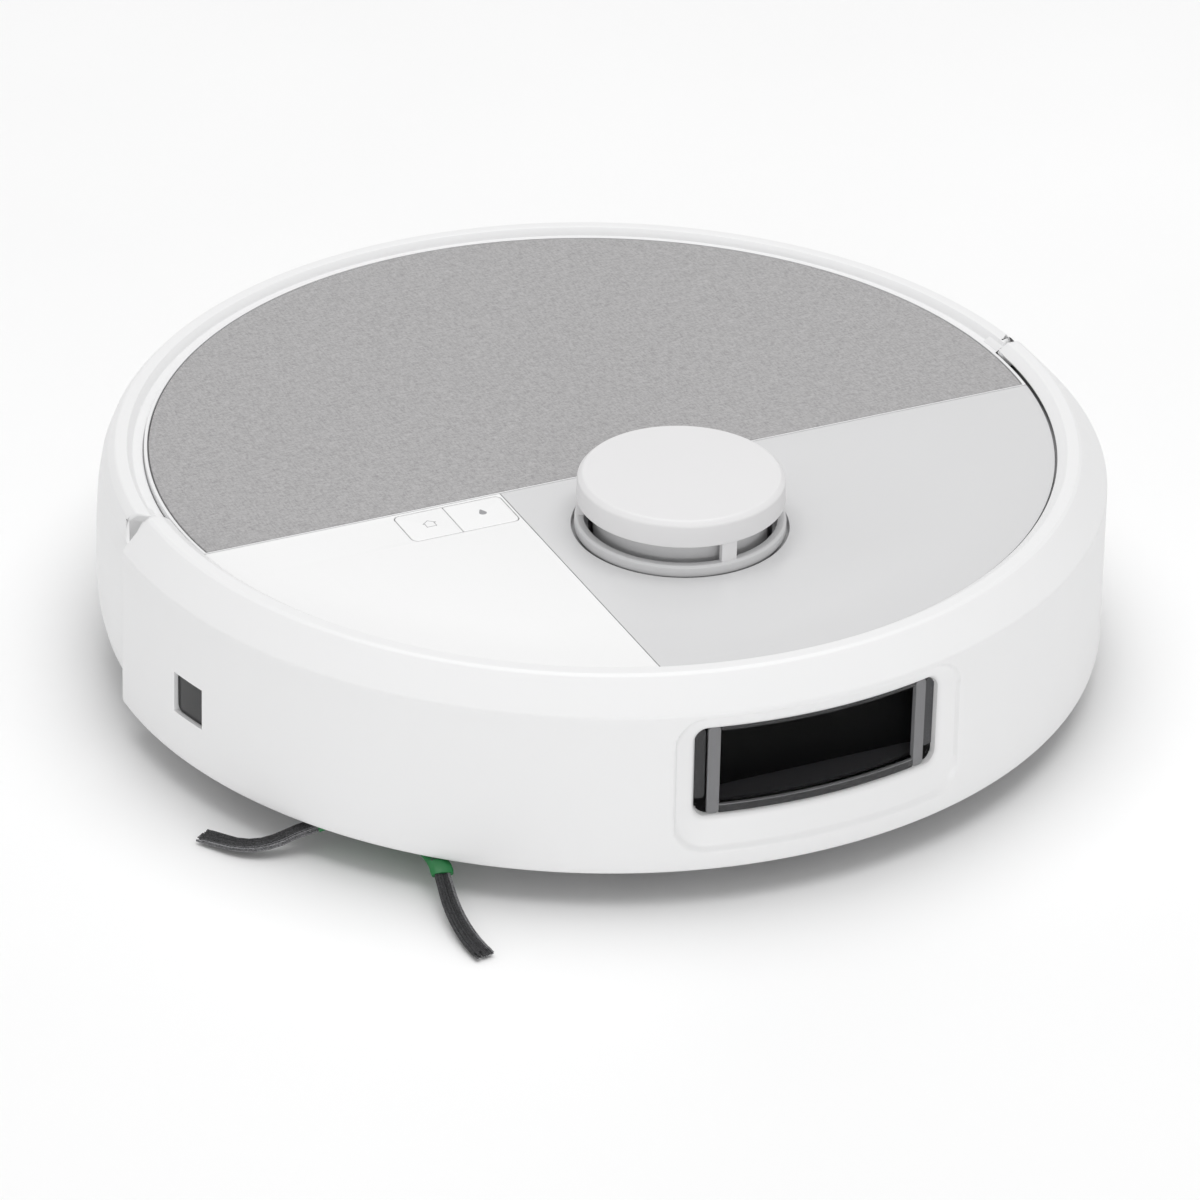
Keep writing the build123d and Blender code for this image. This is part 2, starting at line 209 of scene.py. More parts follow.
def woven(name, dark, light, period=0.00075, rough=0.9):
    """Plain weave of mottled yarn: over and under threads along X and Y, each thread with its own tone."""
    n = Nodes(name)
    x, y, z = n.xyz()
    k = 2 * math.pi / period
    jig = n.math("MULTIPLY", n.noise(260, 2, 0.5), 2.2)
    sx = n.math("SINE", n.math("ADD", n.math("MULTIPLY", x, k), jig))
    sy = n.math("SINE", n.math("ADD", n.math("MULTIPLY", y, k), jig))
    weave = n.math("MULTIPLY", sx, sy)
    h = n.range(weave, 0, 1, -1, 1)
    # yarn tone: long thin streaks along each thread direction
    tones = []
    for scale in ((230, 1700, 1), (1700, 230, 1)):
        mp = n.node("ShaderNodeMapping")
        mp.inputs["Scale"].default_value = scale
        n.link(n.coord, mp.inputs[0])
        tones.append(n.noise(1, 2, 0.5, mp.outputs[0]))
    mix = n.node("ShaderNodeMix", data_type="FLOAT")
    n.link(n.range(weave, 0, 1, -0.25, 0.25), mix.inputs[0])
    n.link(tones[0], mix.inputs[2])
    n.link(tones[1], mix.inputs[3])
    speck = n.noise(1100, 2, 0.7)
    tone = n.math("ADD", n.math("MULTIPLY", mix.outputs[0], 0.55), n.math("MULTIPLY", speck, 0.45))
    # raised thread crossings lighter and the weave's dips darker: painted shade in the weave
    tone = n.math("ADD", n.math("MULTIPLY", tone, 0.85), n.math("MULTIPLY", h, 0.15))
    col = n.ramp(tone, [(0.36, dark), (0.60, light)])
    nor = n.bump(h, 0.5, 0.00007)
    nor = n.bump(n.noise(3800, 3, 0.7), 0.3, 0.00004, nor)
    r = n.range(tone, rough * 0.95, min(1, rough * 1.05), 0.3, 0.7)
    return n.finish(col, r, nor, Specular_IOR_Level=0.12, Sheen_Weight=0.12, Sheen_Roughness=0.5)


def terry(name, dark, light, stripe=None):
    """Microfibre pile: curled fibres, tufts of mixed tone, soft sheen."""
    n = Nodes(name)
    tuft = n.node("ShaderNodeTexVoronoi")
    tuft.inputs["Scale"].default_value = 620
    n.link(n.coord, tuft.inputs["Vector"])
    f = n.noise(1500, 5, 0.75)
    h = n.math("ADD", n.math("MULTIPLY", tuft.outputs["Distance"], -0.9), n.math("MULTIPLY", f, 0.7))
    tone = n.math("ADD", n.math("MULTIPLY", n.noise(420, 4, 0.7), 0.7), n.math("MULTIPLY", tuft.outputs["Distance"], 0.35))
    col = n.ramp(tone, [(0.3, dark), (0.72, light)])
    nor = n.bump(h, 0.8, 0.0004)
    r = n.range(f, 0.88, 1.0, 0.3, 0.7)
    return n.finish(col, r, nor, Specular_IOR_Level=0.1, Sheen_Weight=0.35, Sheen_Roughness=0.5)


def smoked(name, color, alpha, rough=0.03, spec=0.5):
    n = Nodes(name)
    f = n.noise(30, 3, 0.5)
    r = n.range(f, rough, rough * 2.2, 0.3, 0.7)
    col = n.ramp(f, [(0.3, shade(color, 0.9)), (0.7, shade(color, 1.1))])
    nor = n.bump(n.noise(60, 2, 0.5), 0.05, 0.00005)
    return n.finish(col, r, nor, Alpha=alpha, IOR=1.5, Specular_IOR_Level=spec)


def fibre(name, dark, light):
    """Nylon filament: tone differs from strand to strand, glossy streaks along it."""
    n = Nodes(name)
    f = n.noise(1800, 3, 0.6)
    col = n.ramp(f, [(0.35, dark), (0.7, light)])
    r = n.range(f, 0.28, 0.5, 0.3, 0.7)
    nor = n.bump(f, 0.3, 0.00003)
    return n.finish(col, r, nor, Specular_IOR_Level=0.45)


M = {
    "white": plastic("white_plastic", (0.835, 0.835, 0.838), 0.38, grain=0, vary=0.004),
    "white_gloss": plastic("white_gloss", (0.90, 0.90, 0.90), 0.22, grain=0, vary=0.004, coat=0.15),
    "grey_satin": plastic("grey_satin", (0.675, 0.675, 0.68), 0.32, grain=0, vary=0.004),
    "turret": plastic("turret_plastic", (0.765, 0.76, 0.765), 0.4, vary=0.004, spec=0.35),
    "turret_low": plastic("turret_ring", (0.66, 0.66, 0.665), 0.4, vary=0.01),
    "chassis": plastic("chassis_plastic", (0.58, 0.58, 0.585), 0.5, grain=1500, grain_depth=0.00003, vary=0.03),
    "black": plastic("black_plastic", (0.018, 0.018, 0.02), 0.45, grain=1500, grain_depth=0.00003, vary=0.12),
    # near-black at almost no albedo: real black plastic, darkened further as painted shade for the parts behind the
    # front window
    "dark": plastic("black_painted_shade", (0.002, 0.002, 0.0022), 0.6, vary=0.1, spec=0.1),
    "gloss_black": plastic("gloss_black", (0.035, 0.035, 0.037), 0.16, vary=0.08, coat=0.4),
    "dark_grey": plastic("dark_grey_plastic", (0.07, 0.07, 0.075), 0.34, vary=0.08),
    "bar_painted_light": plastic("bar_highlight_plastic", (0.30, 0.30, 0.31), 0.3, vary=0.05),
    "rotor": plastic("rotor_grey", (0.62, 0.62, 0.625), 0.4, vary=0.05),
    "battery": plastic("battery_sleeve", (0.05, 0.09, 0.2), 0.3, vary=0.06),
    "board": plastic("circuit_board", (0.02, 0.16, 0.06), 0.4, vary=0.2),
    "green": plastic("brush_green", (0.012, 0.17, 0.045), 0.42, vary=0.1),
    "roller": rubber("roller_rubber", (0.02, 0.16, 0.06)),
    "tyre": rubber("tyre_rubber", (0.03, 0.03, 0.032)),
    "steel": metal("brushed_steel", (0.62, 0.62, 0.64)),
    "contact": metal("contact_metal", (0.72, 0.70, 0.66), 0.22, "Z"),
    "fabric": woven("grey_fabric", (0.285, 0.279, 0.282), (0.475, 0.468, 0.471), period=0.00066),
    "filter": woven("filter_fabric", (0.62, 0.62, 0.58), (0.82, 0.82, 0.78), period=0.0004),
    "mop": terry("mop_terry", (0.10, 0.115, 0.14), (0.30, 0.33, 0.38)),
    "mop_edge": woven("mop_binding", (0.04, 0.045, 0.05), (0.16, 0.17, 0.19), period=0.0009),
    "bristle": fibre("bristle_fibre", (0.012, 0.012, 0.013), (0.10, 0.10, 0.105)),
    "bristle_grey": fibre("bristle_fibre_grey", (0.10, 0.10, 0.105), (0.34, 0.34, 0.35)),
    "glass": smoked("smoked_window", (0.004, 0.004, 0.004), 0.10, spec=0.06),
    "lens": smoked("smoked_lens", (0.012, 0.012, 0.013), 0.93, 0.06),
    "bin": smoked("smoked_bin", (0.10, 0.10, 0.11), 0.6, 0.12),
    "icon": plastic("icon_ink", (0.32, 0.32, 0.33), 0.5, vary=0.05),
}

# ------------------------------------------------------------ mesh helpers


def build(name, verts, faces, body, mat, replaces=(), sharp=32, merge=True, smooth=True):
    me = bpy.data.meshes.new(name)
    me.from_pydata([(x * MM, y * MM, z * MM) for x, y, z in verts], [], faces)
    bm = bmesh.new()
    bm.from_mesh(me)
    if merge:
        bmesh.ops.remove_doubles(bm, verts=bm.verts, dist=2e-7)
        bmesh.ops.dissolve_degenerate(bm, dist=1e-7, edges=bm.edges)
    bmesh.ops.recalc_face_normals(bm, faces=bm.faces)
    bm.to_mesh(me)
    bm.free()
    for p in me.polygons:
        p.use_smooth = smooth
    if smooth:
        me.set_sharp_from_angle(angle=math.radians(sharp))
    me.materials.append(M[mat])
    ob = bpy.data.objects.new(name, me)
    scene.collection.objects.link(ob)
    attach(ob, body)
    if replaces:
        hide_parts(*replaces)
    return ob


class Soup:
    """Collects several closed shells into one piece."""

    def __init__(self):
        self.v, self.f = [], []

    def add(self, verts, faces, move=None):
        base = len(self.v)
        if move is not None:
            verts = [tuple(move @ Vector(p)) for p in verts]
        self.v += [tuple(p) for p in verts]
        self.f += [tuple(i + base for i in f) for f in faces]
        return self


def rounded(pts, seg=5, closed=True):
    """pts: (a, b) or (a, b, fillet radius).  Returns the outline with its corners rounded."""
    out = []
    n = len(pts)
    for i, p in enumerate(pts):
        f = p[2] if len(p) > 2 else 0
        cur = Vector(p[:2])
        if not closed and i in (0, n - 1) or f <= 0:
            out.append(tuple(cur))
            continue
        a = Vector(pts[i - 1][:2]) - cur
        b = Vector(pts[(i + 1) % n][:2]) - cur
        la, lb = a.length, b.length
        a.normalize()
        b.normalize()
        ang = a.angle(b)
        t = min(f / math.tan(ang / 2), la * 0.48, lb * 0.48)
        f = t * math.tan(ang / 2)
        c = cur + (a + b).normalized() * (f / math.sin(ang / 2))
        s, e = cur + a * t, cur + b * t
        s0, e0 = s - c, e - c
        tot = s0.angle(e0)
        sgn = 1 if s0.x * e0.y - s0.y * e0.x > 0 else -1
        for k in range(seg + 1):
            th = sgn * tot * k / seg
            out.append((c.x + s0.x * math.cos(th) - s0.y * math.sin(th), c.y + s0.x * math.sin(th) + s0.y * math.cos(th)))
    return out


def inset(profile, d):
    """Moves a closed outline inwards by d."""
    n = len(profile)
    area = sum(profile[i - 1][0] * profile[i][1] - profile[i][0] * profile[i - 1][1] for i in range(n))
    s = 1 if area > 0 else -1
    out = []
    for i in range(n):
        p0, p1, p2 = Vector(profile[i - 1]), Vector(profile[i]), Vector(profile[(i + 1) % n])
        e1, e2 = p1 - p0, p2 - p1
        if e1.length < 1e-9:
            e1 = e2
        if e2.length < 1e-9:
            e2 = e1
        e1 = e1.normalized()
        e2 = e2.normalized()
        n1, n2 = Vector((-e1.y, e1.x)) * s, Vector((-e2.y, e2.x)) * s
        m = (n1 + n2)
        if m.length < 1e-6:
            out.append(tuple(p1 + n1 * d))
            continue
        m.normalize()
        out.append(tuple(p1 + m * (d / max(0.5, m.dot(n1)))))
    return out


def lathe(profile, n=192, cx=0.0, cy=0.0, a0=None, a1=None, seg=None):
    """Closed (r, z) outline turned about a vertical axis.  a0..a1 in degrees for a part turn, with closed ends."""
    full = a0 is None
    cols = n if full else (seg or max(2, int(n * abs(a1 - a0) / 360)) ) + 1
    m = len(profile)
    verts, faces = [], []
    for i in range(cols):
        a = 2 * math.pi * i / n if full else math.radians(a0 + (a1 - a0) * i / (cols - 1))
        for r, z in profile:
            verts.append((cx + r * math.cos(a), cy + r * math.sin(a), z))
    for i in range(cols if full else cols - 1):
        j = (i + 1) % cols
        for k in range(m):
            l = (k + 1) % m
            faces.append((i * m + k, j * m + k, j * m + l, i * m + l))
    if not full:
        faces.append(tuple(range(m - 1, -1, -1)))
        faces.append(tuple((cols - 1) * m + k for k in range(m)))
    return verts, faces


def lathe_x(profile, n=96, y=0.0, z=0.0):
    """Closed (r, x) outline turned about an axis along X."""
    v, f = lathe(profile, n)
    return [(p[2], y + p[0], z + p[1]) for p in v], f


def plate(name, loops, z0, z1, bev, body, mat, replaces=(), res=3):
    """Flat plate from closed outlines (first the outside, then holes) with rounded edges."""
    cu = bpy.data.curves.new(name + "_c", "CURVE")
    cu.dimensions = "2D"
    cu.fill_mode = "BOTH"
    for pts in loops:
        sp = cu.splines.new("POLY")
        sp.points.add(len(pts) - 1)
        for q, (x, y) in zip(sp.points, pts):
            q.co = (x * MM, y * MM, 0, 1)
        sp.use_cyclic_u = True
    cu.extrude = ((z1 - z0) / 2 - bev) * MM
    cu.bevel_depth = bev * MM
    cu.bevel_resolution = res
    cu.offset = -bev * MM
    tmp = bpy.data.objects.new(name + "_c", cu)
    scene.collection.objects.link(tmp)
    bpy.context.view_layer.update()
    me = bpy.data.meshes.new_from_object(tmp.evaluated_get(bpy.context.evaluated_depsgraph_get()))
    bpy.data.objects.remove(tmp)
    bpy.data.curves.remove(cu)
    zc = (z0 + z1) / 2
    verts = [(v.co.x / MM, v.co.y / MM, v.co.z / MM + zc) for v in me.vertices]
    faces = [tuple(p.vertices) for p in me.polygons]
    bpy.data.meshes.remove(me)
    return build(name, verts, faces, body, mat, replaces, sharp=50)


def arc(r, a0, a1, n, cx=0.0, cy=0.0):
    return [(cx + r * math.cos(math.radians(a0 + (a1 - a0) * i / n)), cy + r * math.sin(math.radians(a0 + (a1 - a0) * i / n))) for i in range(n + 1)]


def rrect(x0, x1, y0, y1, r, seg=6):
    return rounded([(x0, y0, r), (x1, y0, r), (x1, y1, r), (x0, y1, r)], seg)


def box_mesh(x0, x1, y0, y1, z0, z1, r=0.5, seg=3):
    """Box with rounded vertical edges and softened top and bottom edges."""
    verts, faces = [], []
    layers = []
    for k in range(seg + 1):
        a = math.pi / 2 * k / seg
        layers.append((z0 + r * (1 - math.sin(a)), r * (1 - math.cos(a))))
    layers = [(z, r - (r - i)) for z, i in layers]
    lows = [(z0 + r * (1 - math.sin(math.pi / 2 * k / seg)), r * (1 - math.cos(math.pi / 2 * k / seg))) for k in range(seg, -1, -1)]
    highs = [(z1 - (z - z0), i) for z, i in reversed(lows)]
    rings = []
    for z, i in lows + highs:
        rings.append([(x, y, z) for x, y in rrect(x0 + i, x1 - i, y0 + i, y1 - i, max(0.05, r * 1.2 - i), 4)])
    m = len(rings[0])
    for ring in rings:
        verts += ring
    for a in range(len(rings) - 1):
        for k in range(m):
            l = (k + 1) % m
            faces.append((a * m + k, a * m + l, (a + 1) * m + l, (a + 1) * m + k))
    faces.append(tuple(range(m - 1, -1, -1)))
    faces.append(tuple((len(rings) - 1) * m + k for k in range(m)))
    return verts, faces


def tube(points, radii, sides=10, flat=1.0, up=Vector((0, 0, 1))):
    """Tube along points with its own radius at each, closed at both ends.  flat squashes it along up."""
    pts = [Vector(p) for p in points]
    verts, faces = [], []
    for i, p in enumerate(pts):
        t = (pts[min(i + 1, len(pts) - 1)] - pts[max(i - 1, 0)]).normalized()
        s = t.cross(up)
        if s.length < 1e-5:
            s = Vector((1, 0, 0))
        s.normalize()
        u = s.cross(t)
        for k in range(sides):
            a = 2 * math.pi * k / sides
            verts.append(tuple(p + s * (math.cos(a) * radii[i]) + u * (math.sin(a) * radii[i] * flat)))
    for i in range(len(pts) - 1):
        for k in range(sides):
            l = (k + 1) % sides
            faces.append((i * sides + k, i * sides + l, (i + 1) * sides + l, (i + 1) * sides + k))
    faces.append(tuple(range(sides - 1, -1, -1)))
    faces.append(tuple((len(pts) - 1) * sides + k for k in range(sides)))
    return verts, faces


# ------------------------------------------------------------- the bumper
R_WALL = 174.4


def sd_rrect(u, v, hu, hv, r):
    """Signed distance to a rounded rectangle, negative inside."""
    qx, qy = abs(u) - hu + r, abs(v) - hv + r
    return math.hypot(max(qx, 0), max(qy, 0)) + min(max(qx, qy), 0) - r


def smooth(x):
    x = min(1, max(0, x))
    return x * x * (3 - 2 * x)


WIN_Z, WIN_H, WIN_U, WIN_C = 47.0, 16.9, 46.5, 1.9


def win_sd(u, z):
    return sd_rrect(u - WIN_C, z - WIN_Z, WIN_U, WIN_H, 5.2)


def win_depth(u, z):
    """How far the outer wall is pushed in round the front window."""
    s2 = win_sd(u, z)
    s1 = -sd_rrect(u - WIN_C, z - 44.2, 53.2, 25.2, 11.0)
    if s1 <= 0:
        return 0.0
    w = s1 / (s1 + max(s2, 0) + 1e-6) if s2 > 0 else 1.0
    d = 1.25 * smooth(w / 0.16) + 2.2 * w
    if s2 < 0.9:
        d += 3.0 * (1 - math.sqrt(max(0, 1 - min(1, (0.9 - s2) / 1.9) ** 2)))
    return d


def bumper_outline():
    zs = [14.5, 17.0] + [18.5 + 0.5 * k for k in range(104)]
    outer, tag = [], []
    pts = rounded([(170.5, 12.0, 0.5), (174.6, 12.0, 1.6), (175.0, 16.0)], 5, closed=False)
    outer += pts[:-1]
    tag += [0] * (len(pts) - 1)
    for z in zs:
        if z > 69.6:
            continue
        r = 175.0 + (R_WALL - 175.0) * (z - 14) / 56
        outer.append((r, z))
        tag.append(1)
    top = rounded([(174.4, 69.6), (174.3, 71.0, 2.6), (165.2, 81.1, 1.6), (164.0, 81.8, 0.8), (160.2, 81.8, 0.8),
                   (156.8, 79.4, 0.2), (156.8, 79.0), (162.9, 79.0), (171.9, 69.6)], 6, closed=False)
    outer += top[1:-1]
    tag += [0] * (len(top) - 2)
    for z in reversed(zs):
        if z > 69.6:
            continue
        outer.append((172.1, z))
        tag.append(2)
    outer += [(169.6, 14.5), (169.6, 12.4)]
    tag += [0, 0]
    return outer, tag


def make_bumper():
    prof, tag = bumper_outline()
    m = len(prof)
    win_cols = [-20 + 0.25 * k for k in range(161)]
    side = (-78.55, -73.45)
    left = [-88 + 1.6 * k for k in range(6)] + [-79.2, -78.9, side[0]] + [-77.5, -76, -74.5] + [side[1], -73.1, -72.8]
    left += [-71.5 + 1.5 * k for k in range(34)]
    right = [21 + 1.5 * k for k in range(45)]
    phis = sorted(set(round(p, 3) for p in left + win_cols + right))
    cols = [("end", -1, d, i) for d, i in ((0.0, 0.75), (0.12, 0.42), (0.35, 0.16), (0.75, 0.0), (2.0, 0.0))]
    cols += [("phi", p, 0, 0) for p in phis if -89.5 < p < 89.5]
    cols += [("end", 1, d, i) for d, i in ((2.0, 0.0), (0.75, 0.0), (0.35, 0.16), (0.12, 0.42), (0.0, 0.75))]
    verts, grid, keep = [], [], []
    prof_in = {}
    for kind, a, d, ins in cols:
        col = []
        p2 = prof_in.setdefault(ins, inset(prof, ins) if ins else prof)
        for k, (r, z) in enumerate(p2):
            if kind == "end":
                y_end = 4.5 - d
                ph = a * math.acos(-y_end / r)
            else:
                ph = math.radians(a)
            rr = r
            u = ph * 174.5
            if tag[k] == 1 and abs(u) < 64:
                rr -= win_depth(u, z)
            elif tag[k] == 2 and abs(u) < 64:
                s1 = sd_rrect(u - WIN_C, z - 44.2, 54.4, 25.4, 10.0)
                rr -= (172.1 - 168.4) * smooth((3 - s1) / 4)
            verts.append((rr * math.sin(ph), -rr * math.cos(ph), z))
            col.append((u, z))
        grid.append(col)
    n = len(cols)
    faces = []
    hole = set()
    for i in range(n - 1):
        for k in range(m):
            l = (k + 1) % m
            t = tag[k] if tag[k] == tag[l] else 0
            if t:
                u = (grid[i][k][0] + grid[i + 1][k][0]) / 2
                z = (grid[i][k][1] + grid[i][l][1]) / 2
                ph = math.degrees(u / 174.5)
                if (abs(u) < 60 and win_sd(u, z) < -1.1) or (side[0] < ph < side[1] and 29.5 < z < 44.5):
                    hole.add((i, k))
                    continue
            faces.append((i * m + k, (i + 1) * m + k, (i + 1) * m + l, i * m + l))
    # walls between outer and inner skin round the holes
    mate = {}
    by_z = {}
    for k in range(m):
        if tag[k]:
            by_z.setdefault(round(prof[k][1], 3), {})[tag[k]] = k
    for zz, d in by_z.items():
        if 1 in d and 2 in d:
            mate[d[1]] = d[2]
    edge_count = {}
    for (i, k) in hole:
        if tag[k] != 1:
            continue
        l = k + 1
        for e, nb in (((i, k, i, l), (i - 1, k)), ((i + 1, k, i + 1, l), (i + 1, k)), ((i, k, i + 1, k), (i, k - 1)), ((i, l, i + 1, l), (i, k + 1))):
            if nb not in hole:
                a, b = e[0] * m + e[1], e[2] * m + e[3]
                c, dd = e[0] * m + mate[e[1]], e[2] * m + mate[e[3]]
                faces.append((a, b, dd, c))
    faces.append(tuple(range(m)))
    faces.append(tuple((n - 1) * m + k for k in reversed(range(m))))
    return build("bumper_skin", verts, faces, "bumper", "white", ("bumper_shell",), sharp=38)


make_bumper()

# ------------------------------------------------------------- rear shell
REAR = rounded([
    (171.0, 18.0, 1.2), (172.5, 25.0, 6), (173.0, 38.0, 8), (172.6, 52, 8), (171.8, 64, 6), (170.6, 71.0, 4),
    (168.4, 76.6, 3), (165.9, 79.35, 1.4), (161.8, 79.4, 0.6), (159.9, 76.6, 0.7), (156.4, 76.5, 0.3), (156.4, 75.7),
    (163.5, 75.7), (167.6, 71.0), (169.2, 63.5), (170.1, 50), (170.4, 38), (169.9, 26), (168.8, 18.3)], 4)


def make_rear():
    # rows at the exact heights of the exhaust slots and the contact pockets
    zs_cut = [23.0, 39.0, 45.0, 59.0]
    prof = []
    m0 = len(REAR)
    for k in range(m0):
        a, b = REAR[k], REAR[(k + 1) % m0]
        prof.append(a)
        lo, hi = sorted((a[1], b[1]))
        cuts = [z for z in zs_cut if lo + 1e-6 < z < hi - 1e-6]
        if b[1] < a[1]:
            cuts = cuts[::-1]
        for z in cuts:
            t = (z - a[1]) / (b[1] - a[1])
            prof.append((a[0] + (b[0] - a[0]) * t, z))
    m = len(prof)
    top = max(range(m), key=lambda k: prof[k][1])
    outer = {k for k in range(m) if prof[k][0] > 170.55 and prof[k][1] < 66}
    zi = {}
    for k in range(m):
        for z in zs_cut:
            if abs(prof[k][1] - z) < 1e-6:
                zi.setdefault(z, []).append(k)
    for z in zi:
        zi[z].sort(key=lambda k: -prof[k][0])
    slots = [(118 + 2.6 * k - 0.54, 118 + 2.6 * k + 0.54) for k in range(9)]
    pockets = [(142.0, 149.2)]
    edges = [a for p in slots + pockets for a in p] + [-a for a in (142.0, 149.2)]
    phis = sorted(set([round(-88 + 1.6 * k, 3) for k in range(0)] + edges))
    base = [94 + 1.5 * k for k in range(115)]
    allphi = []
    for p in base:
        q = p if p <= 180 else p - 360
        allphi.append(p)
    cutphi = [a if a > 0 else a + 360 for a in edges]
    allphi = [p for p in allphi if all(abs(p - c) > 0.35 for c in cutphi) and 93.9 < p < 266.1] + cutphi
    allphi.sort()
    cols = [("end", 1, d, i) for d, i in ((0.0, 0.75), (0.12, 0.42), (0.35, 0.16), (0.75, 0.0), (2.0, 0.0))]
    cols += [("phi", p, 0, 0) for p in allphi]
    cols += [("end", -1, d, i) for d, i in ((2.0, 0.0), (0.75, 0.0), (0.35, 0.16), (0.12, 0.42), (0.0, 0.75))]
    verts = []
    ang = []
    prof_in = {}
    for kind, a, d, ins in cols:
        p2 = prof_in.setdefault(ins, inset(prof, ins) if ins else prof)
        for k, (r, z) in enumerate(p2):
            if kind == "end":
                y = 7.4 + d + 9.5 * smooth((z - 70.5) / 2.5) * min(1, max(0, (r - 161.0) / 9.5))
                ph = math.acos(-y / r)
                if a < 0:
                    ph = 2 * math.pi - ph
            else:
                ph = math.radians(a)
            verts.append((r * math.sin(ph), -r * math.cos(ph), z))
        ang.append(math.degrees(ph))
    n = len(cols)

    def in_hole(i, z):
        a = (ang[i] + ang[i + 1]) / 2
        if cols[i][0] == "end" or cols[i + 1][0] == "end":
            return False
        if 45 < z < 59 and any(p < a < q for p, q in slots):
            return True
        return 23 < z < 39 and (142.0 < a < 149.2 or 210.8 < a < 218.0)

    faces = []
    for i in range(n - 1):
        for k in range(m):
            l = (k + 1) % m
            z = (prof[k][1] + prof[l][1]) / 2
            if prof[k][0] > 168 and in_hole(i, z):
                continue
            faces.append((i * m + k, (i + 1) * m + k, (i + 1) * m + l, i * m + l))
    # side walls of the openings
    def wall(i, z0, z1):
        ko = [k for k in range(m) if z0 - 1e-6 <= prof[k][1] <= z1 + 1e-6 and k < top]
        ki = [k for k in range(m) if z0 - 1e-6 <= prof[k][1] <= z1 + 1e-6 and k > top]
        loop = ko + ki
        faces.append(tuple(i * m + k for k in loop))

    def lid(i, z):
        a, b = zi[z][0], zi[z][-1]
        faces.append((i * m + a, (i + 1) * m + a, (i + 1) * m + b, i * m + b))

    for i in range(n - 1):
        for z0, z1 in ((45.0, 59.0), (23.0, 39.0)):
            zc = (z0 + z1) / 2
            here = in_hole(i, zc)
            if here:
                lid(i, z0)
                lid(i, z1)
                if not in_hole(i - 1, zc):
                    wall(i, z0, z1)
                if not in_hole(i + 1, zc):
                    wall(i + 1, z0, z1)
    faces.append(tuple(range(m)))
    faces.append(tuple((n - 1) * m + k for k in reversed(range(m))))
    return build("rear_skin", verts, faces, "root", "white", ("rear_shell",), sharp=38)


make_rear()

# light tongues that back the seams between the bumper and the rear shell
TONGUE = rounded([(158.6, 75.7), (158.6, 76.6, 0.4), (161.0, 78.2, 0.5), (162.6, 78.4, 0.5), (168.9, 71.6, 1.0), (169.2, 41),
                  (168.8, 41), (165.4, 66), (163.5, 75.7)], 4)
s = Soup()
for a in (1, -1):
    vv, ff = [], []
    m = len(TONGUE)
    ysec = [-2.0, 1.0, 4.0, 7.0, 10.0, 13.5, 17.0]
    for y in ysec:
        for r, z in TONGUE:
            vv.append((a * math.sqrt(r * r - y * y), y, z))
    for i in range(len(ysec) - 1):
        for k in range(m):
            l = (k + 1) % m
            ff.append((i * m + k, i * m + l, (i + 1) * m + l, (i + 1) * m + k))
    ff.append(tuple(range(m)))
    ff.append(tuple((len(ysec) - 1) * m + k for k in reversed(range(m))))
    s.add(vv, ff)
build("seam_tongues", s.v, s.f, "root", "white", (), sharp=35, merge=False)

# ---------------------------------------------------------------- the lid
Y_SPLIT, X_SPLIT, R_LID = -21.0, -47.0, 156.0


def hit(r, y=None, x=None):
    return math.sqrt(r * r - (y if y is not None else x) ** 2)


def lid_pieces():
    # white panel
    yb = Y_SPLIT - 0.2
    xw = X_SPLIT - 0.15
    a0 = math.degrees(math.atan2(yb, -hit(R_LID, y=yb))) % 360
    a1 = math.degrees(math.atan2(-hit(R_LID, x=xw), xw)) % 360
    out = arc(R_LID, a0, a1, 90) + [(xw, yb)]
    plate("panel_white", [out, rrect(-87.35, -47.85, -40.85, -22.15, 2.4)], 75.5, 78.5, 0.22, "root", "white_gloss", ("white_panel",))
    xg = X_SPLIT + 0.15
    a2 = math.degrees(math.atan2(-hit(R_LID, x=xg), xg)) % 360
    a3 = 360 + math.degrees(math.atan2(yb, hit(R_LID, y=yb)))
    out = arc(R_LID, a2, a3, 150) + [(xg, yb)]
    plate("panel_grey", [out, arc(36.7, 0, 359, 179, 0, -64)], 75.5, 78.5, 0.22, "root", "grey_satin", ("grey_panel",))
    # rear cover: white border frame and fabric-faced plate
    yc = Y_SPLIT + 0.2
    b0 = math.degrees(math.atan2(yc, hit(R_LID, y=yc)))
    outer = arc(R_LID, b0, 180 - b0, 200)
    ri = 154.85
    yi = yc + 0.55
    c0 = math.degrees(math.atan2(yi, hit(ri, y=yi)))
    innerl = arc(ri, c0, 180 - c0, 200)
    plate("cover_rim", [outer, innerl], 75.8, 78.5, 0.25, "rear_cover", "white", ("cover_frame",))
    rf = 154.35
    yf = yc + 0.75
    d0 = math.degrees(math.atan2(yf, hit(rf, y=yf)))
    plate("cover_fabric", [arc(rf, d0, 180 - d0, 220)], 76.4, 78.5, 0.35, "rear_cover", "fabric", ("fabric_panel",))


lid_pieces()

for name, x0, x1, left, right in (("home_button", -87.0, -69.15, True, False), ("clean_button", -68.85, -48.2, False, True)):
    r = 2.2
    pts = [(x0, -40.5, r if left else 0.4), (x1, -40.5, r if right else 0.4), (x1, -22.5, r if right else 0.4), (x0, -22.5, r if left else 0.4)]
    plate(name + "_cap", [rounded(pts, 6)], 76.3, 78.5, 0.3, name, "white_gloss", (name,))

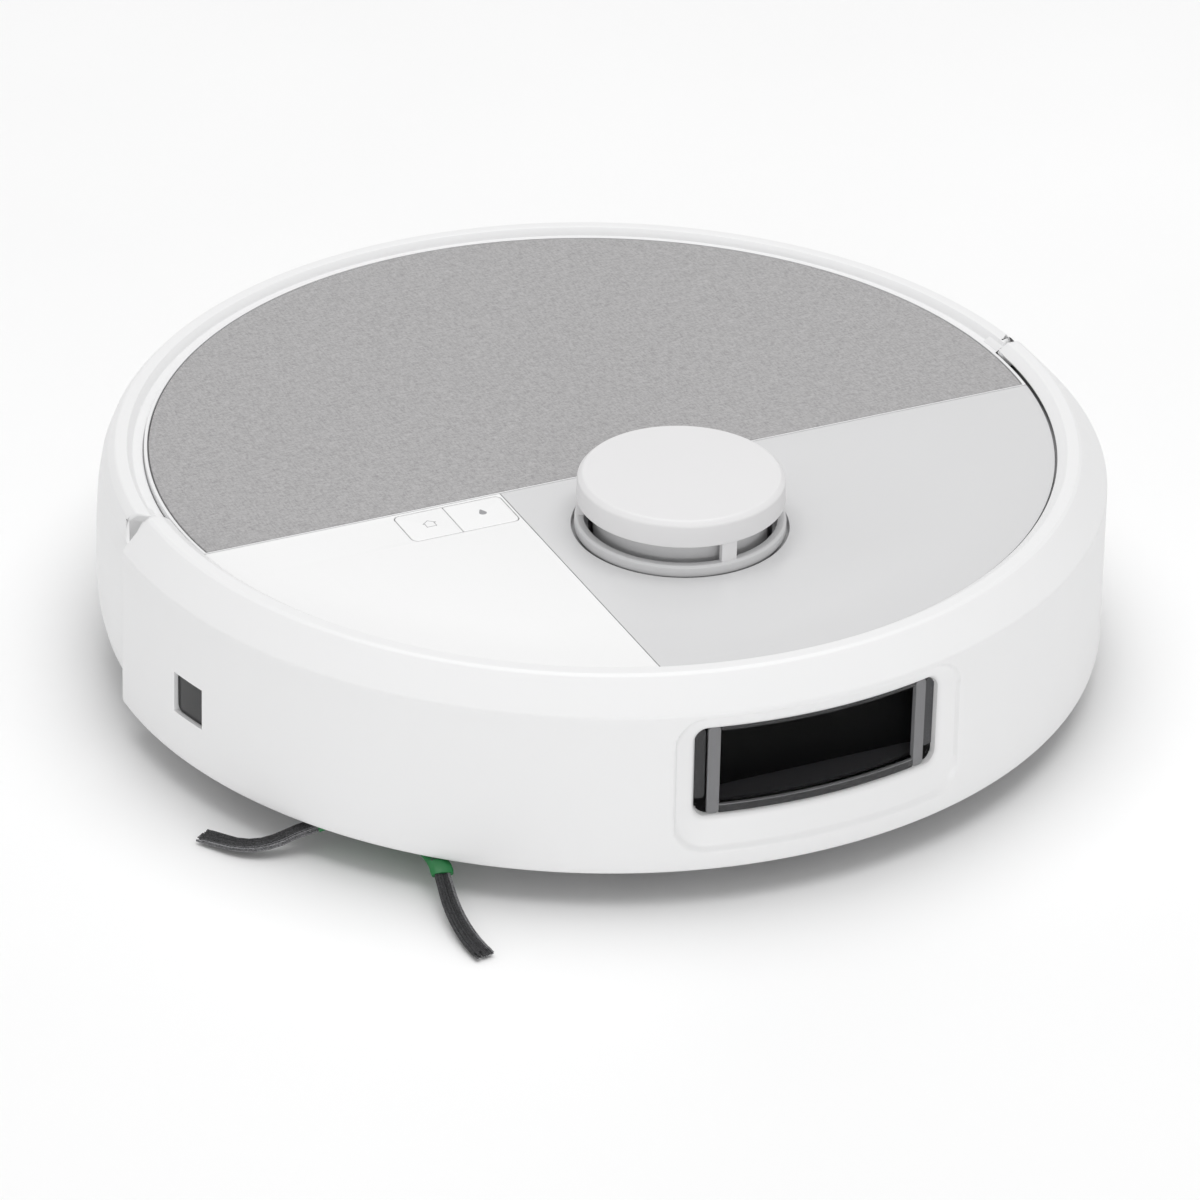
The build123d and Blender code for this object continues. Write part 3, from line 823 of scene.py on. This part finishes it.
# generic icons: a small house outline, and a filled drop
s = Soup()
hx, hy = -77.3, -31.3
path = [(hx - 1.7, hy - 1.8), (hx - 1.7, hy + 0.5), (hx - 2.3, hy + 0.5), (hx, hy + 2.3), (hx + 2.3, hy + 0.5), (hx + 1.7, hy + 0.5), (hx + 1.7, hy - 1.8)]
for a, b in zip(path, path[1:] + path[:1]):
    d = Vector((b[0] - a[0], b[1] - a[1], 0))
    L = d.length
    v, f = box_mesh(-0.14, L + 0.14, -0.14, 0.14, 0, 0.05, 0.02, 1)
    s.add(v, f, Matrix.Translation((a[0], a[1], 78.46)) @ Matrix.Rotation(math.atan2(d.y, d.x), 4, "Z"))
build("home_icon", s.v, s.f, "home_button", "icon", merge=False)
cx_, cy_ = -57.8, -30.8
drop = []
for k in range(32):
    a = 2 * math.pi * k / 32
    rr = 1.35
    x, y = rr * math.cos(a), rr * math.sin(a)
    if y > 0:
        y = y * (1 + 0.75 * (y / rr) ** 2)
        x = x * (1 - 0.45 * (y / 2.36))
    drop.append((cx_ + x, cy_ + y - 0.3))
plate("clean_icon", [drop], 78.44, 78.51, 0.01, "clean_button", "icon", (), 1)

# ------------------------------------------------------------ lidar turret
LX, LY = 0.0, -64.0
cap = rounded([(0.001, 98.1), (33.2, 98.1, 1.4), (34.9, 96.4, 1.4), (35.1, 88.7, 0.5), (32.6, 88.7, 0.3), (32.6, 95.4, 1.0), (0.001, 95.4)], 6)
s = Soup().add(*lathe(cap, 192, LX, LY))
low = rounded([(34.6, 78.1), (35.6, 78.1), (35.6, 81.2, 0.5), (34.8, 81.9, 0.4), (32.6, 82.0, 0.3), (32.0, 78.1)], 4)
s2 = Soup().add(*lathe(low, 192, LX, LY))
for phi in (2.5, 122.5, 242.5):
    a = phi - 90
    pil = rounded([(32.3, 81.2), (34.5, 81.2), (34.5, 89.9), (32.3, 89.9)], 1)
    s.add(*lathe(pil, 360, LX, LY, a - 4.6, a + 4.6, 10))
build("turret_cap", s.v, s.f, "root", "turret", ("lidar_cap",), sharp=40)
build("turret_ring", s2.v, s2.f, "root", "turret_low", ("lidar_collar",), sharp=40)
rot = rounded([(4.05, 94.0), (28.3, 94.0, 1.0), (29.3, 93.0, 0.6), (29.3, 58.0, 0.5), (4.05, 58.0)], 4)
s = Soup().add(*lathe(rot, 128, LX, LY))
s3 = Soup()
for sx in (-8.5, 8.5):
    ringp = rounded([(0.001, 28.9), (3.0, 28.9, 0.4), (3.0, 24.0), (0.001, 24.0)], 3)
    v, f = lathe(ringp, 40)
    s3.add([(p[0] + LX + sx, p[2] + LY, p[1] + 86.2) for p in v], f)
build("lidar_drum", s.v, s.f, "lidar_rotor", "rotor", ("lidar_rotor",))
build("lidar_eyes", s3.v, s3.f, "lidar_rotor", "lens")

# ---------------------------------------------------------- front window


def curved(name, r0, r1, u0, u1, z0, z1, body, mat, replaces=(), corner=0.6, hole=None, cols=60):
    """Plate bent round the body, with rounded corners in its own surface."""
    outline = rrect(u0, u1, z0, z1, corner, 8)
    dense = []
    for i, p in enumerate(outline):
        q = outline[(i + 1) % len(outline)]
        L = math.dist(p, q)
        k = max(1, int(L / 1.5))
        for j in range(k):
            dense.append((p[0] + (q[0] - p[0]) * j / k, p[1] + (q[1] - p[1]) * j / k))
    cu, cz = (u0 + u1) / 2, (z0 + z1) / 2
    rings = []
    if hole:
        hu0, hu1, hz0, hz1, hr = hole
        # inner outline sampled at the same directions
        inner = []
        for p in dense:
            d = Vector((p[0] - cu, p[1] - cz))
            lo, hi = 0.0, 1.0
            for _ in range(30):
                mid = (lo + hi) / 2
                q = (cu + d.x * mid, cz + d.y * mid)
                if sd_rrect(q[0] - (hu0 + hu1) / 2, q[1] - (hz0 + hz1) / 2, (hu1 - hu0) / 2, (hz1 - hz0) / 2, hr) < 0:
                    lo = mid
                else:
                    hi = mid
            inner.append((cu + d.x * lo, cz + d.y * lo))
        bev = 0.3
        levels = []
        def mixp(a, b, t):
            return (a[0] + (b[0] - a[0]) * t, a[1] + (b[1] - a[1]) * t)
        wid = [max(1e-3, math.dist(a, b)) for a, b in zip(dense, inner)]
        levels.append([(dense[i], r1 - bev) for i in range(len(dense))])
        levels.append([(mixp(dense[i], inner[i], bev / wid[i]), r1) for i in range(len(dense))])
        levels.append([(mixp(inner[i], dense[i], bev / wid[i]), r1) for i in range(len(dense))])
        levels.append([(inner[i], r1 - bev) for i in range(len(dense))])
        levels.append([(inner[i], r0) for i in range(len(dense))])
        levels.append([(dense[i], r0) for i in range(len(dense))])
        m = len(dense)
        verts = []
        for lv in levels:
            for (u, z), r in lv:
                a = u / 174.5
                verts.append((r * math.sin(a), -r * math.cos(a), z))
        faces = []
        for a in range(len(levels)):
            b = (a + 1) % len(levels)
            for k in range(m):
                l = (k + 1) % m
                faces.append((a * m + k, a * m + l, b * m + l, b * m + k))
        return build(name, verts, faces, body, mat, replaces)
    m = len(dense)
    verts, faces = [], []
    shrink = (1.0, 0.985, 0.9, 0.7, 0.4, 0.12)
    order = []
    for side, r in ((0, r1), (1, r0)):
        ringsr = []
        for q, sh in enumerate(shrink):
            ring = []
            for u, z in dense:
                uu, zz = cu + (u - cu) * sh, cz + (z - cz) * sh
                rr = r - 0.25 if (q == 0 and side == 0) else r
                a = uu / 174.5
                ring.append(len(verts))
                verts.append((rr * math.sin(a), -rr * math.cos(a), zz))
            ringsr.append(ring)
        for a in range(len(shrink) - 1):
            for k in range(m):
                l = (k + 1) % m
                faces.append((ringsr[a][k], ringsr[a][l], ringsr[a + 1][l], ringsr[a + 1][k]))
        faces.append(tuple(ringsr[-1]))
        order.append(ringsr[0])
    for k in range(m):
        l = (k + 1) % m
        faces.append((order[0][k], order[0][l], order[1][l], order[1][k]))
    return build(name, verts, faces, body, mat, replaces)


curved("window_glass", 170.3, 170.9, WIN_C - 45.9, WIN_C + 45.9, 30.4, 63.6, "bumper", "glass", ("sensor_window",), corner=5.0)
# the surround behind the glass takes the near-black painted shade
curved("window_surround", 168.4, 168.9, WIN_C - 46.8, WIN_C + 46.8, 29.8, 64.2, "bumper", "dark", ("window_frame",), corner=5.0,
       hole=(WIN_C - 37.3, WIN_C + 37.3, 33.0, 62.6, 3.2))
# inner frame: upright glossy bars at both ends, a dark bar below and a thin one above. The upright bars' grey is a
# painted reflection of the bright surroundings, and a thin grey strip along the lower bar's inner edge is a painted
# highlight.
for sgn, tag_ in ((-1, "right"), (1, "left")):
    u0, u1 = sorted((WIN_C + sgn * 36.9, WIN_C + sgn * 41.2))
    curved("window_bar_" + tag_, 168.3, 169.9, u0, u1, 30.6, 63.4, "bumper", "bar_painted_light", (), corner=1.4)
    u0, u1 = sorted((WIN_C + sgn * 41.9, WIN_C + sgn * 46.2))
    # the cheeks differ only in painted light: dark grey at one end, gloss black at the other
    curved("window_cheek_" + tag_, 168.3, 169.1, u0, u1, 36.5, 62.5, "bumper", "dark_grey" if sgn > 0 else "gloss_black", (), corner=1.2)
curved("window_bar_low", 168.5, 169.8, WIN_C - 37.0, WIN_C + 37.0, 29.9, 33.6, "bumper", "gloss_black", (), corner=0.7)
# thin grey strip: painted highlight along the lower bar's inner edge
curved("window_bar_edge", 168.9, 169.95, WIN_C - 37.0, WIN_C + 37.0, 33.6, 33.95, "bumper", "bar_painted_light", (), corner=0.15)
curved("window_bar_top", 168.6, 169.8, WIN_C - 37.0, WIN_C + 37.0, 61.8, 63.4, "bumper", "gloss_black", (), corner=0.7)


def hood():
    """Dark box behind the window: back wall, sill, roof and cheeks. The back wall, roof and cheeks carry near-black
    painted shade; the sill's lighter dark grey is a painted reflection on its floor.
    """
    s = Soup()
    n = 40
    # sill: top surface from the window back to the camera wall
    def slab(z_front, z_back, t, y_back, x_half):
        v, f = [], []
        for i in range(n + 1):
            x = WIN_C - x_half + 2 * x_half * i / n
            yf = -math.sqrt(164.9 ** 2 - x * x)
            v += [(x, yf, z_front), (x, y_back, z_back), (x, y_back, z_back - t), (x, yf, z_front - t)]
        for i in range(n):
            a, b = i * 4, i * 4 + 4
            for k in range(4):
                l = (k + 1) % 4
                f.append((a + k, a + l, b + l, b + k))
        f.append((0, 1, 2, 3))
        f.append((n * 4 + 3, n * 4 + 2, n * 4 + 1, n * 4))
        return v, f
    # sill in dark grey: painted reflection on the floor of the box
    sill = Soup().add(*slab(33.2, 34.4, 1.2, -154.7, 42))
    build("camera_sill", sill.v, sill.f, "root", "dark_grey")
    s.add(*slab(66.4, 66.4, 1.2, -154.7, 42))
    s.add(*box_mesh(WIN_C - 42.5, WIN_C + 42.5, -155.8, -154.6, 32, 66.6, 0.3, 2))
    s.add(*box_mesh(WIN_C - 43.1, WIN_C - 41.9, -158.6, -152, 32, 66.6, 0.3, 2))
    s.add(*box_mesh(WIN_C + 41.9, WIN_C + 43.1, -158.6, -152, 32, 66.6, 0.3, 2))
    return build("camera_hood", s.v, s.f, "root", "dark")


hood()

# side sensor lens on the robot's right
us = math.radians(-76) * 174.5
curved("side_lens", 171.0, 173.4, us - 7.5, us + 7.5, 29.7, 44.3, "bumper", "lens", ("side_sensor",), corner=2.4)

# ------------------------------------------------------------- side brush
HX, HY = -116.5, -104.0
s = Soup().add(*lathe(rounded([(0.001, 9.0), (8.2, 9.0, 0.8), (9.0, 10.0, 0.8), (9.0, 13.4, 0.5), (3.0, 13.4), (3.0, 22.0), (0.001, 22.0)], 4), 64, HX, HY))
build("brush_boss", s.v, s.f, "side_brush", "green", ("brush_hub",))
ARMS = {
    150.0: [(-139.5, -90.8, 10.2), (-149.8, -88.6, 7.6), (-155.5, -87.9, 5.6), (-162.3, -85.9, 3.9), (-168.0, -81.6, 2.9), (-172.2, -75.4, 2.2), (-175.9, -69.6, 1.7)],
    270.0: [(-116.7, -130.0, 10.2), (-117.9, -137.0, 7.8), (-119.6, -146.0, 5.4), (-120.6, -156.0, 3.7), (-120.6, -166.0, 2.5), (-119.6, -173.4, 1.8)],
    30.0: [(-91.5, -88.5, 10.2), (-82.5, -84.0, 7.6), (-75.0, -81.0, 5.4), (-68.0, -76.5, 3.8), (-61.5, -71.0, 2.6), (-55.8, -67.0, 1.8)],
}


def resample(pts, n):
    """Even points on a smooth curve through pts (Catmull-Rom)."""
    P = [Vector(p) for p in pts]
    P = [P[0] * 2 - P[1]] + P + [P[-1] * 2 - P[-2]]
    dense = []
    for i in range(1, len(P) - 2):
        for k in range(12):
            t = k / 12
            a, b, c, d = P[i - 1], P[i], P[i + 1], P[i + 2]
            dense.append(0.5 * ((2 * b) + (c - a) * t + (2 * a - 5 * b + 4 * c - d) * t * t + (3 * b - a - 3 * c + d) * t ** 3))
    dense.append(P[-2])
    L = [0.0]
    for a, b in zip(dense, dense[1:]):
        L.append(L[-1] + (b - a).length)
    out, j = [], 0
    for k in range(n):
        s_ = L[-1] * k / (n - 1)
        while j < len(L) - 2 and L[j + 1] < s_:
            j += 1
        t = (s_ - L[j]) / max(1e-9, L[j + 1] - L[j])
        out.append(dense[j].lerp(dense[j + 1], min(1, t)))
    return out


arms, bris, grey = Soup(), Soup(), Soup()
for ang, pts in ARMS.items():
    a = math.radians(ang)
    root = Vector((HX + 6 * math.cos(a), HY + 6 * math.sin(a), 10.6))
    p1 = Vector((HX + 16 * math.cos(a), HY + 16 * math.sin(a), 10.5))
    path = [root, p1] + [Vector(pts[0])]
    d = (Vector(pts[1]) - Vector(pts[0])).normalized()
    path.append(Vector(pts[0]) + d * 4.2)
    sm = resample(path, 16)
    arms.add(*tube(sm, [3.5] * 11 + [3.6, 3.7, 3.8, 3.9, 3.6], 20, 0.46))
    core = resample([Vector(pts[0]) - d * 2] + [Vector(p) for p in pts], 20)
    for k in range(110):
        w = rnd.uniform(-1, 1)
        h = rnd.uniform(-1, 1)
        lag = rnd.uniform(0.96, 1.0)
        curl = rnd.uniform(-0.35, 0.35)
        line = []
        for i, p in enumerate(core):
            t = i / (len(core) - 1)
            q = core[min(i + 1, len(core) - 1)] - core[max(i - 1, 0)]
            q.z = 0
            q.normalize()
            side = Vector((-q.y, q.x, 0))
            spread = 2.3 + 1.0 * t
            hh = 1.15 * (1 - 0.45 * t)
            off = side * (w * spread + curl * t * t) + Vector((0, 0, h * hh))
            pt = p + off
            pt.z = max(pt.z, 0.35)
            line.append(pt)
        line = resample(line, 12)
        cut = int(round(11 * lag))
        line = [line[0].lerp(line[0], 0)] + line[1:]
        if lag < 0.985:
            line[-1] = line[-2].lerp(line[-1], 0.55)
        (grey if (w > 0.62 and rnd.random() < 0.75) else bris).add(*tube(line, [0.24] * 12, 4))
build("brush_sleeves", arms.v, arms.f, "side_brush", "green", ("brush_arms",), merge=False)
build("brush_hair", bris.v, bris.f, "side_brush", "bristle", ("brush_bristles",), merge=False)
build("brush_hair_grey", grey.v, grey.f, "side_brush", "bristle_grey", (), merge=False)

# ---------------------------------------------------------- running gear
WHEEL_Z = 35.0
for side, sg in (("left", 1), ("right", -1)):
    tyre, hub = Soup(), Soup()
    # tyre carcass with a rounded shoulder and raised cross lugs
    prof = rounded([(28.1, 107.6), (28.1, 128.4), (32.6, 128.4, 1.0), (33.6, 127.2, 0.8), (33.6, 108.8, 0.8), (32.6, 107.6, 1.0)], 4)
    v, f = lathe_x([(r, x) for r, x in prof], 144, 0.0, WHEEL_Z)
    tyre.add(v, f)
    n_lug = 30
    for k in range(n_lug):
        for half in (0, 1):
            a = 2 * math.pi * (k + 0.5 * half) / n_lug
            x0, x1 = (108.0, 117.4) if half == 0 else (118.6, 128.0)
            skew = (1 if half == 0 else -1) * 0.055
            vv, ff = [], []
            for (xx, sgn2) in ((x0, -1), (x1, 1)):
                aa = a + skew * (sgn2 if half == 0 else -sgn2) * -1
                for (da, rr) in ((-0.052, 33.3), (0.052, 33.3), (0.036, 34.96), (-0.036, 34.96)):
                    vv.append((xx, rr * math.cos(aa + da), WHEEL_Z + rr * math.sin(aa + da)))
            ff = [(0, 1, 2, 3), (7, 6, 5, 4), (0, 4, 5, 1), (1, 5, 6, 2), (2, 6, 7, 3), (3, 7, 4, 0)]
            tyre.add(vv, ff)
    if sg < 0:
        tyre.v = [(-x, y, z) for x, y, z in tyre.v]
    build("tread_" + side, tyre.v, tyre.f, "wheel_" + side, "tyre", ("tyre_" + side,), merge=False, sharp=35)

# caster roller
prof = rounded([(1.6, -8.7), (11.5, -8.7, 0.6), (12.95, -7.0, 1.4), (12.95, 7.0, 1.4), (11.5, 8.7, 0.6), (1.6, 8.7)], 6)
v, f = lathe_x(prof, 96, -122.0, 13.0)
build("caster_tyre", v, f, "caster_roller", "dark_grey", ("caster_wheel",))

# main roller: soft chevron paddles on a rubber sleeve, bristle rows between them
RY, RZ = -8.0, 20.0
s = Soup().add(*lathe_x(rounded([(9.1, -83.9), (12.2, -83.9, 0.8), (12.2, 83.9, 0.8), (9.1, 83.9)], 4), 96, RY, RZ))
for k in range(6):
    base_a = 2 * math.pi * k / 6
    nx = 60
    rings = []
    for i in range(nx + 1):
        x = -83.8 + 167.6 * i / nx
        tw = 0.75 * (1 - abs(x) / 84.0)
        sec = []
        for (t, rr) in ((-0.95, 11.9), (-0.62, 15.0), (-0.48, 18.4), (-0.2, 18.9), (0.2, 18.9), (0.48, 18.4), (0.62, 15.0), (0.95, 11.9)):
            aa = base_a + tw
            cxs = math.cos(aa)
            sns = math.sin(aa)
            # radial coordinate rr, tangential t
            sec.append((x, RY + rr * cxs - t * sns, RZ + rr * sns + t * cxs))
        rings.append(sec)
    vv = [p for r_ in rings for p in r_]
    m = 8
    ff = []
    for i in range(nx):
        for q in range(m):
            l = (q + 1) % m
            ff.append((i * m + q, i * m + l, (i + 1) * m + l, (i + 1) * m + q))
    ff.append(tuple(range(m - 1, -1, -1)))
    ff.append(tuple(nx * m + q for q in range(m)))
    s.add(vv, ff)
build("roller_paddles", s.v, s.f, "roller", "roller", ("roller_fins",), merge=False, sharp=40)
s = Soup()
for k in range(6):
    base_a = 2 * math.pi * (k + 0.5) / 6
    for i in range(150):
        x = -82.0 + 164.0 * i / 149
        aa = base_a + 0.75 * (1 - abs(x) / 84.0)
        for q in range(2):
            da = rnd.uniform(-0.05, 0.05)
            L = rnd.uniform(18.2, 18.85)
            p0 = Vector((x + rnd.uniform(-0.3, 0.3), RY + 11.9 * math.cos(aa), RZ + 11.9 * math.sin(aa)))
            p1 = Vector((x + rnd.uniform(-0.8, 0.8), RY + L * math.cos(aa + da), RZ + L * math.sin(aa + da)))
            s.add(*tube([p0, p0.lerp(p1, 0.5), p1], [0.22, 0.2, 0.14], 3))
build("roller_bristles", s.v, s.f, "roller", "bristle", (), merge=False)

# mop pads: terry disc with a bound, stitched edge
for side, sg in (("left", 1), ("right", -1)):
    mx, my = 60.5 * sg, 84.0
    R = 57.6
    n = 168
    rs = [0.0] + [2.0 + 1.25 * k for k in range(42)] + [54.4, 55.2, 56.2, 57.0, 57.45, 57.6]
    verts, faces, rows = [], [], []
    prng = random.Random(31 + sg)
    phase = [prng.uniform(0, 6.283) for _ in range(8)]

    def pile(r, a):
        """Height of the underside above the floor."""
        base = 0.12
        w = 0.10 * math.sin(r * 1.05 + 0.8 * math.sin(5 * a + phase[0])) + 0.07 * math.sin(9 * a + phase[1] + r * 0.22)
        tuft = 0.34 * (0.5 + 0.5 * math.sin(r * 2.6 + phase[2])) * (0.5 + 0.5 * math.sin(a * max(6, round(r * 1.1)) + phase[3] + r))
        edge = 0.0
        if r > 54.6:
            edge = 2.6 * ((r - 54.6) / 3.0) ** 2.2
        return base + max(0, 0.12 + w) + tuft + edge

    def under(r, a):
        return pile(r, a)
    def top(r, a):
        z = 5.75 + 0.12 * math.sin(7 * a + phase[4]) * (r / R)
        if r > 54.6:
            z -= 2.6 * ((r - 54.6) / 3.0) ** 2.2
        return min(5.95, z)
    for face_, fn in ((0, under), (1, top)):
        for r in rs:
            if r == 0:
                rows.append([len(verts)])
                verts.append((mx, my, fn(0, 0)))
                continue
            row = []
            for i in range(n):
                a = 2 * math.pi * i / n
                wob = 1 + (0.0035 * math.sin(6 * a + phase[5]) + 0.0025 * math.sin(11 * a + phase[6]) - 0.004) * (r / R)
                row.append(len(verts))
                verts.append((mx + r * wob * math.cos(a), my + r * wob * math.sin(a), fn(r, a)))
            rows.append(row)
    half = len(rs)
    for b in (0, half):
        for i in range(n):
            faces.append((rows[b][0], rows[b + 1][i], rows[b + 1][(i + 1) % n]))
        for q in range(b + 1, b + half - 1):
            for i in range(n):
                j = (i + 1) % n
                faces.append((rows[q][i], rows[q + 1][i], rows[q + 1][j], rows[q][j]))
    for i in range(n):
        j = (i + 1) % n
        faces.append((rows[half - 1][i], rows[2 * half - 1][i], rows[2 * half - 1][j], rows[half - 1][j]))
    pad = build("mop_cloth_" + side, verts, faces, "mop_" + side, "mop", ("mop_pad_" + side,), merge=False, sharp=180)
    # overlock stitches round the rim
    st = Soup()
    ns = 120
    for i in range(ns):
        a = 2 * math.pi * i / ns
        pts = []
        for q in range(5):
            t = q / 4
            z = 0.9 + 4.4 * t
            bulge = math.sin(math.pi * t) * 0.35
            aa = a + 0.02 * (t - 0.5)
            rr = 56.55 + bulge
            pts.append(Vector((mx + rr * math.cos(aa), my + rr * math.sin(aa), z)))
        st.add(*tube(pts, [0.42, 0.5, 0.5, 0.5, 0.42], 6))
    build("mop_stitch_" + side, st.v, st.f, "mop_" + side, "mop_edge", (), merge=False)

# pleated filter
s = Soup()
n = 26
vv, ff = [], []
for i in range(n + 1):
    y = 63.3 + (104.7 - 63.3) * i / n
    xo = 54.8 if i % 2 == 0 else 58.4
    vv += [(xo, y, 43.2), (xo, y, 64.8), (xo + 0.6, y, 64.8), (xo + 0.6, y, 43.2)]
for i in range(n):
    a, b = i * 4, i * 4 + 4
    for k in range(4):
        l = (k + 1) % 4
        ff.append((a + k, b + k, b + l, a + l))
ff.append((3, 2, 1, 0))
ff.append((n * 4, n * 4 + 1, n * 4 + 2, n * 4 + 3))
build("filter_pleats", vv, ff, "dust_bin", "filter", ("filter",), merge=False, sharp=20)

# ---------------------------------------- the pieces that keep their shape
KEEP = {
    "base_chassis": ("chassis", 0.5), "chassis_wall": ("chassis", 0.3), "wheel_housings": ("chassis", 0.3), "top_deck": ("chassis", 0.3),
    "lidar_base": ("chassis", 0.3), "lidar_motor": ("steel", 0.3), "battery_pack": ("battery", 2.0), "main_board": ("board", 0.1),
    "button_board": ("board", 0.1), "blower_housing": ("black", 0.6), "blower_motor": ("steel", 0.4), "side_brush_motor": ("black", 0.5),
    # camera_module takes the near-black painted shade that hides it behind the window
    "air_duct": ("black", 0.5), "camera_module": ("dark", 0.5), "cliff_sensors": ("lens", 0.4), "charging_contacts": ("contact", 0.35),
    "bumper_switches": ("black", 0.2), "chassis_screws": ("steel", 0.3), "arm_springs": ("steel", 0.3),
    "dust_bin": ("bin", 0.6), "bin_lid": ("black", 0.5), "filter_frame": ("black", 0.4),
    "fan_impeller": ("rotor", 0.2), "brush_housing": ("black", 0.4), "brush_guard": ("green", 0.6), "brush_motor": ("black", 0.6),
    "roller_core": ("black", 0.3), "wheel_arm_left": ("black", 0.6), "wheel_arm_right": ("black", 0.6),
    "wheel_hub_left": ("rotor", 0.5), "wheel_hub_right": ("rotor", 0.5), "caster_fork": ("black", 0.4),
    "mop_carriage": ("black", 0.5), "mop_motor": ("steel", 0.4), "mop_plate_left": ("chassis", 0.5), "mop_plate_right": ("chassis", 0.5),
}
replaced = {"bumper_shell", "rear_shell", "white_panel", "grey_panel", "cover_frame", "fabric_panel", "home_button", "clean_button", "lidar_cap",
            "lidar_collar", "lidar_rotor", "sensor_window", "window_frame", "side_sensor", "brush_hub", "brush_arms", "brush_bristles",
            "tyre_left", "tyre_right", "caster_wheel", "roller_fins", "mop_pad_left", "mop_pad_right", "filter"}
nodes = {o.name: o for o in bpy.data.objects if o.type == "MESH"}
for name, (mat, bev) in KEEP.items():
    ob = nodes.get(name)
    if ob is None:
        print("no node", name)
        continue
    ob.data.materials.clear()
    ob.data.materials.append(M[mat])
    for p in ob.data.polygons:
        p.use_smooth = True
    ob.data.set_sharp_from_angle(angle=math.radians(30))
    md = ob.modifiers.new("edge", "BEVEL")
    md.width = bev * MM
    md.segments = 3
    md.limit_method = "ANGLE"
    md.angle_limit = math.radians(40)
    md.harden_normals = True
SLOT_MAT = {"white_plastic": "white", "white_gloss": "white_gloss", "grey_plastic": "grey_satin", "grey_fabric": "fabric", "smoked_lens": "lens",
            "black_plastic": "black", "brush_green": "green", "bristle_black": "bristle", "roller_rubber": "roller", "tyre_rubber": "tyre",
            "mop_fabric": "mop", "filter_fabric": "filter", "rotor_grey": "rotor"}
HIDDEN = {"bumper_shell": "white", "rear_shell": "white", "white_panel": "white_gloss", "grey_panel": "grey_satin", "cover_frame": "white",
          "fabric_panel": "fabric", "home_button": "white_gloss", "clean_button": "white_gloss", "lidar_cap": "turret", "lidar_collar": "turret_low",
          "lidar_rotor": "rotor", "sensor_window": "glass", "window_frame": "dark", "side_sensor": "lens", "brush_hub": "green", "brush_arms": "green",
          "brush_bristles": "bristle", "tyre_left": "tyre", "tyre_right": "tyre", "caster_wheel": "dark_grey", "roller_fins": "roller",
          "mop_pad_left": "mop", "mop_pad_right": "mop", "filter": "filter"}
for name, mat in HIDDEN.items():
    ob = nodes.get(name)
    if ob is not None:
        ob.data.materials.clear()
        ob.data.materials.append(M[mat])

# ------------------------------------------------------- floor and lights
fl = Nodes("studio_floor")
fl_r = fl.range(fl.noise(9, 3, 0.5), 0.5, 0.62, 0.3, 0.7)
floor_mat = fl.finish(fl.ramp(fl.noise(3, 2, 0.5), [(0.3, (0.93, 0.93, 0.93)), (0.7, (0.95, 0.95, 0.95))]), fl_r, Specular_IOR_Level=0.25)
me = bpy.data.meshes.new("studio_floor")
N, D = 24, 6.0
vs, fs = [], []
ys = [-3.0 + 6.0 * i / N for i in range(N + 1)]
prof = [(-4.0, 0.0), (2.2, 0.0)] + [(2.2 + 1.2 * math.sin(math.pi / 2 * k / 12), 1.2 - 1.2 * math.cos(math.pi / 2 * k / 12)) for k in range(1, 13)] + [(3.4, 5.0)]
for y, z in prof:
    vs += [(-6, y, z), (6, y, z)]
for i in range(len(prof) - 1):
    fs.append((2 * i, 2 * i + 1, 2 * i + 3, 2 * i + 2))
me.from_pydata(vs, [], fs)
for p in me.polygons:
    p.use_smooth = True
me.materials.append(floor_mat)
floor = bpy.data.objects.new("studio_floor", me)
scene.collection.objects.link(floor)


def area(name, loc, aim, size, power, size_y=None):
    li = bpy.data.lights.new(name, "AREA")
    li.shape = "RECTANGLE"
    li.size, li.size_y = size, size_y or size
    li.energy = power
    ob = bpy.data.objects.new(name, li)
    ob.location = loc
    ob.rotation_euler = (Vector(aim) - Vector(loc)).to_track_quat("-Z", "Y").to_euler()
    scene.collection.objects.link(ob)
    return ob


area("top_soft", (0.15, 0.1, 2.2), (0, 0, 0), 2.2, 33, 2.0)
area("left_soft", (-2.2, -0.2, 0.3), (0, 0, 0.05), 1.6, 4, 0.6)
area("front_fill", (-0.45, -2.55, 0.3), (0, 0, 0.05), 1.6, 13.5, 0.6)
world = bpy.data.worlds.new("studio")
scene.world = world
world.use_nodes = True
bg = world.node_tree.nodes.get("Background")
bg.inputs[0].default_value = (1, 1, 1, 1)
bg.inputs[1].default_value = 0.5
scene.view_settings.view_transform = "Standard"
scene.view_settings.look = "None"
scene.view_settings.exposure = 0.0
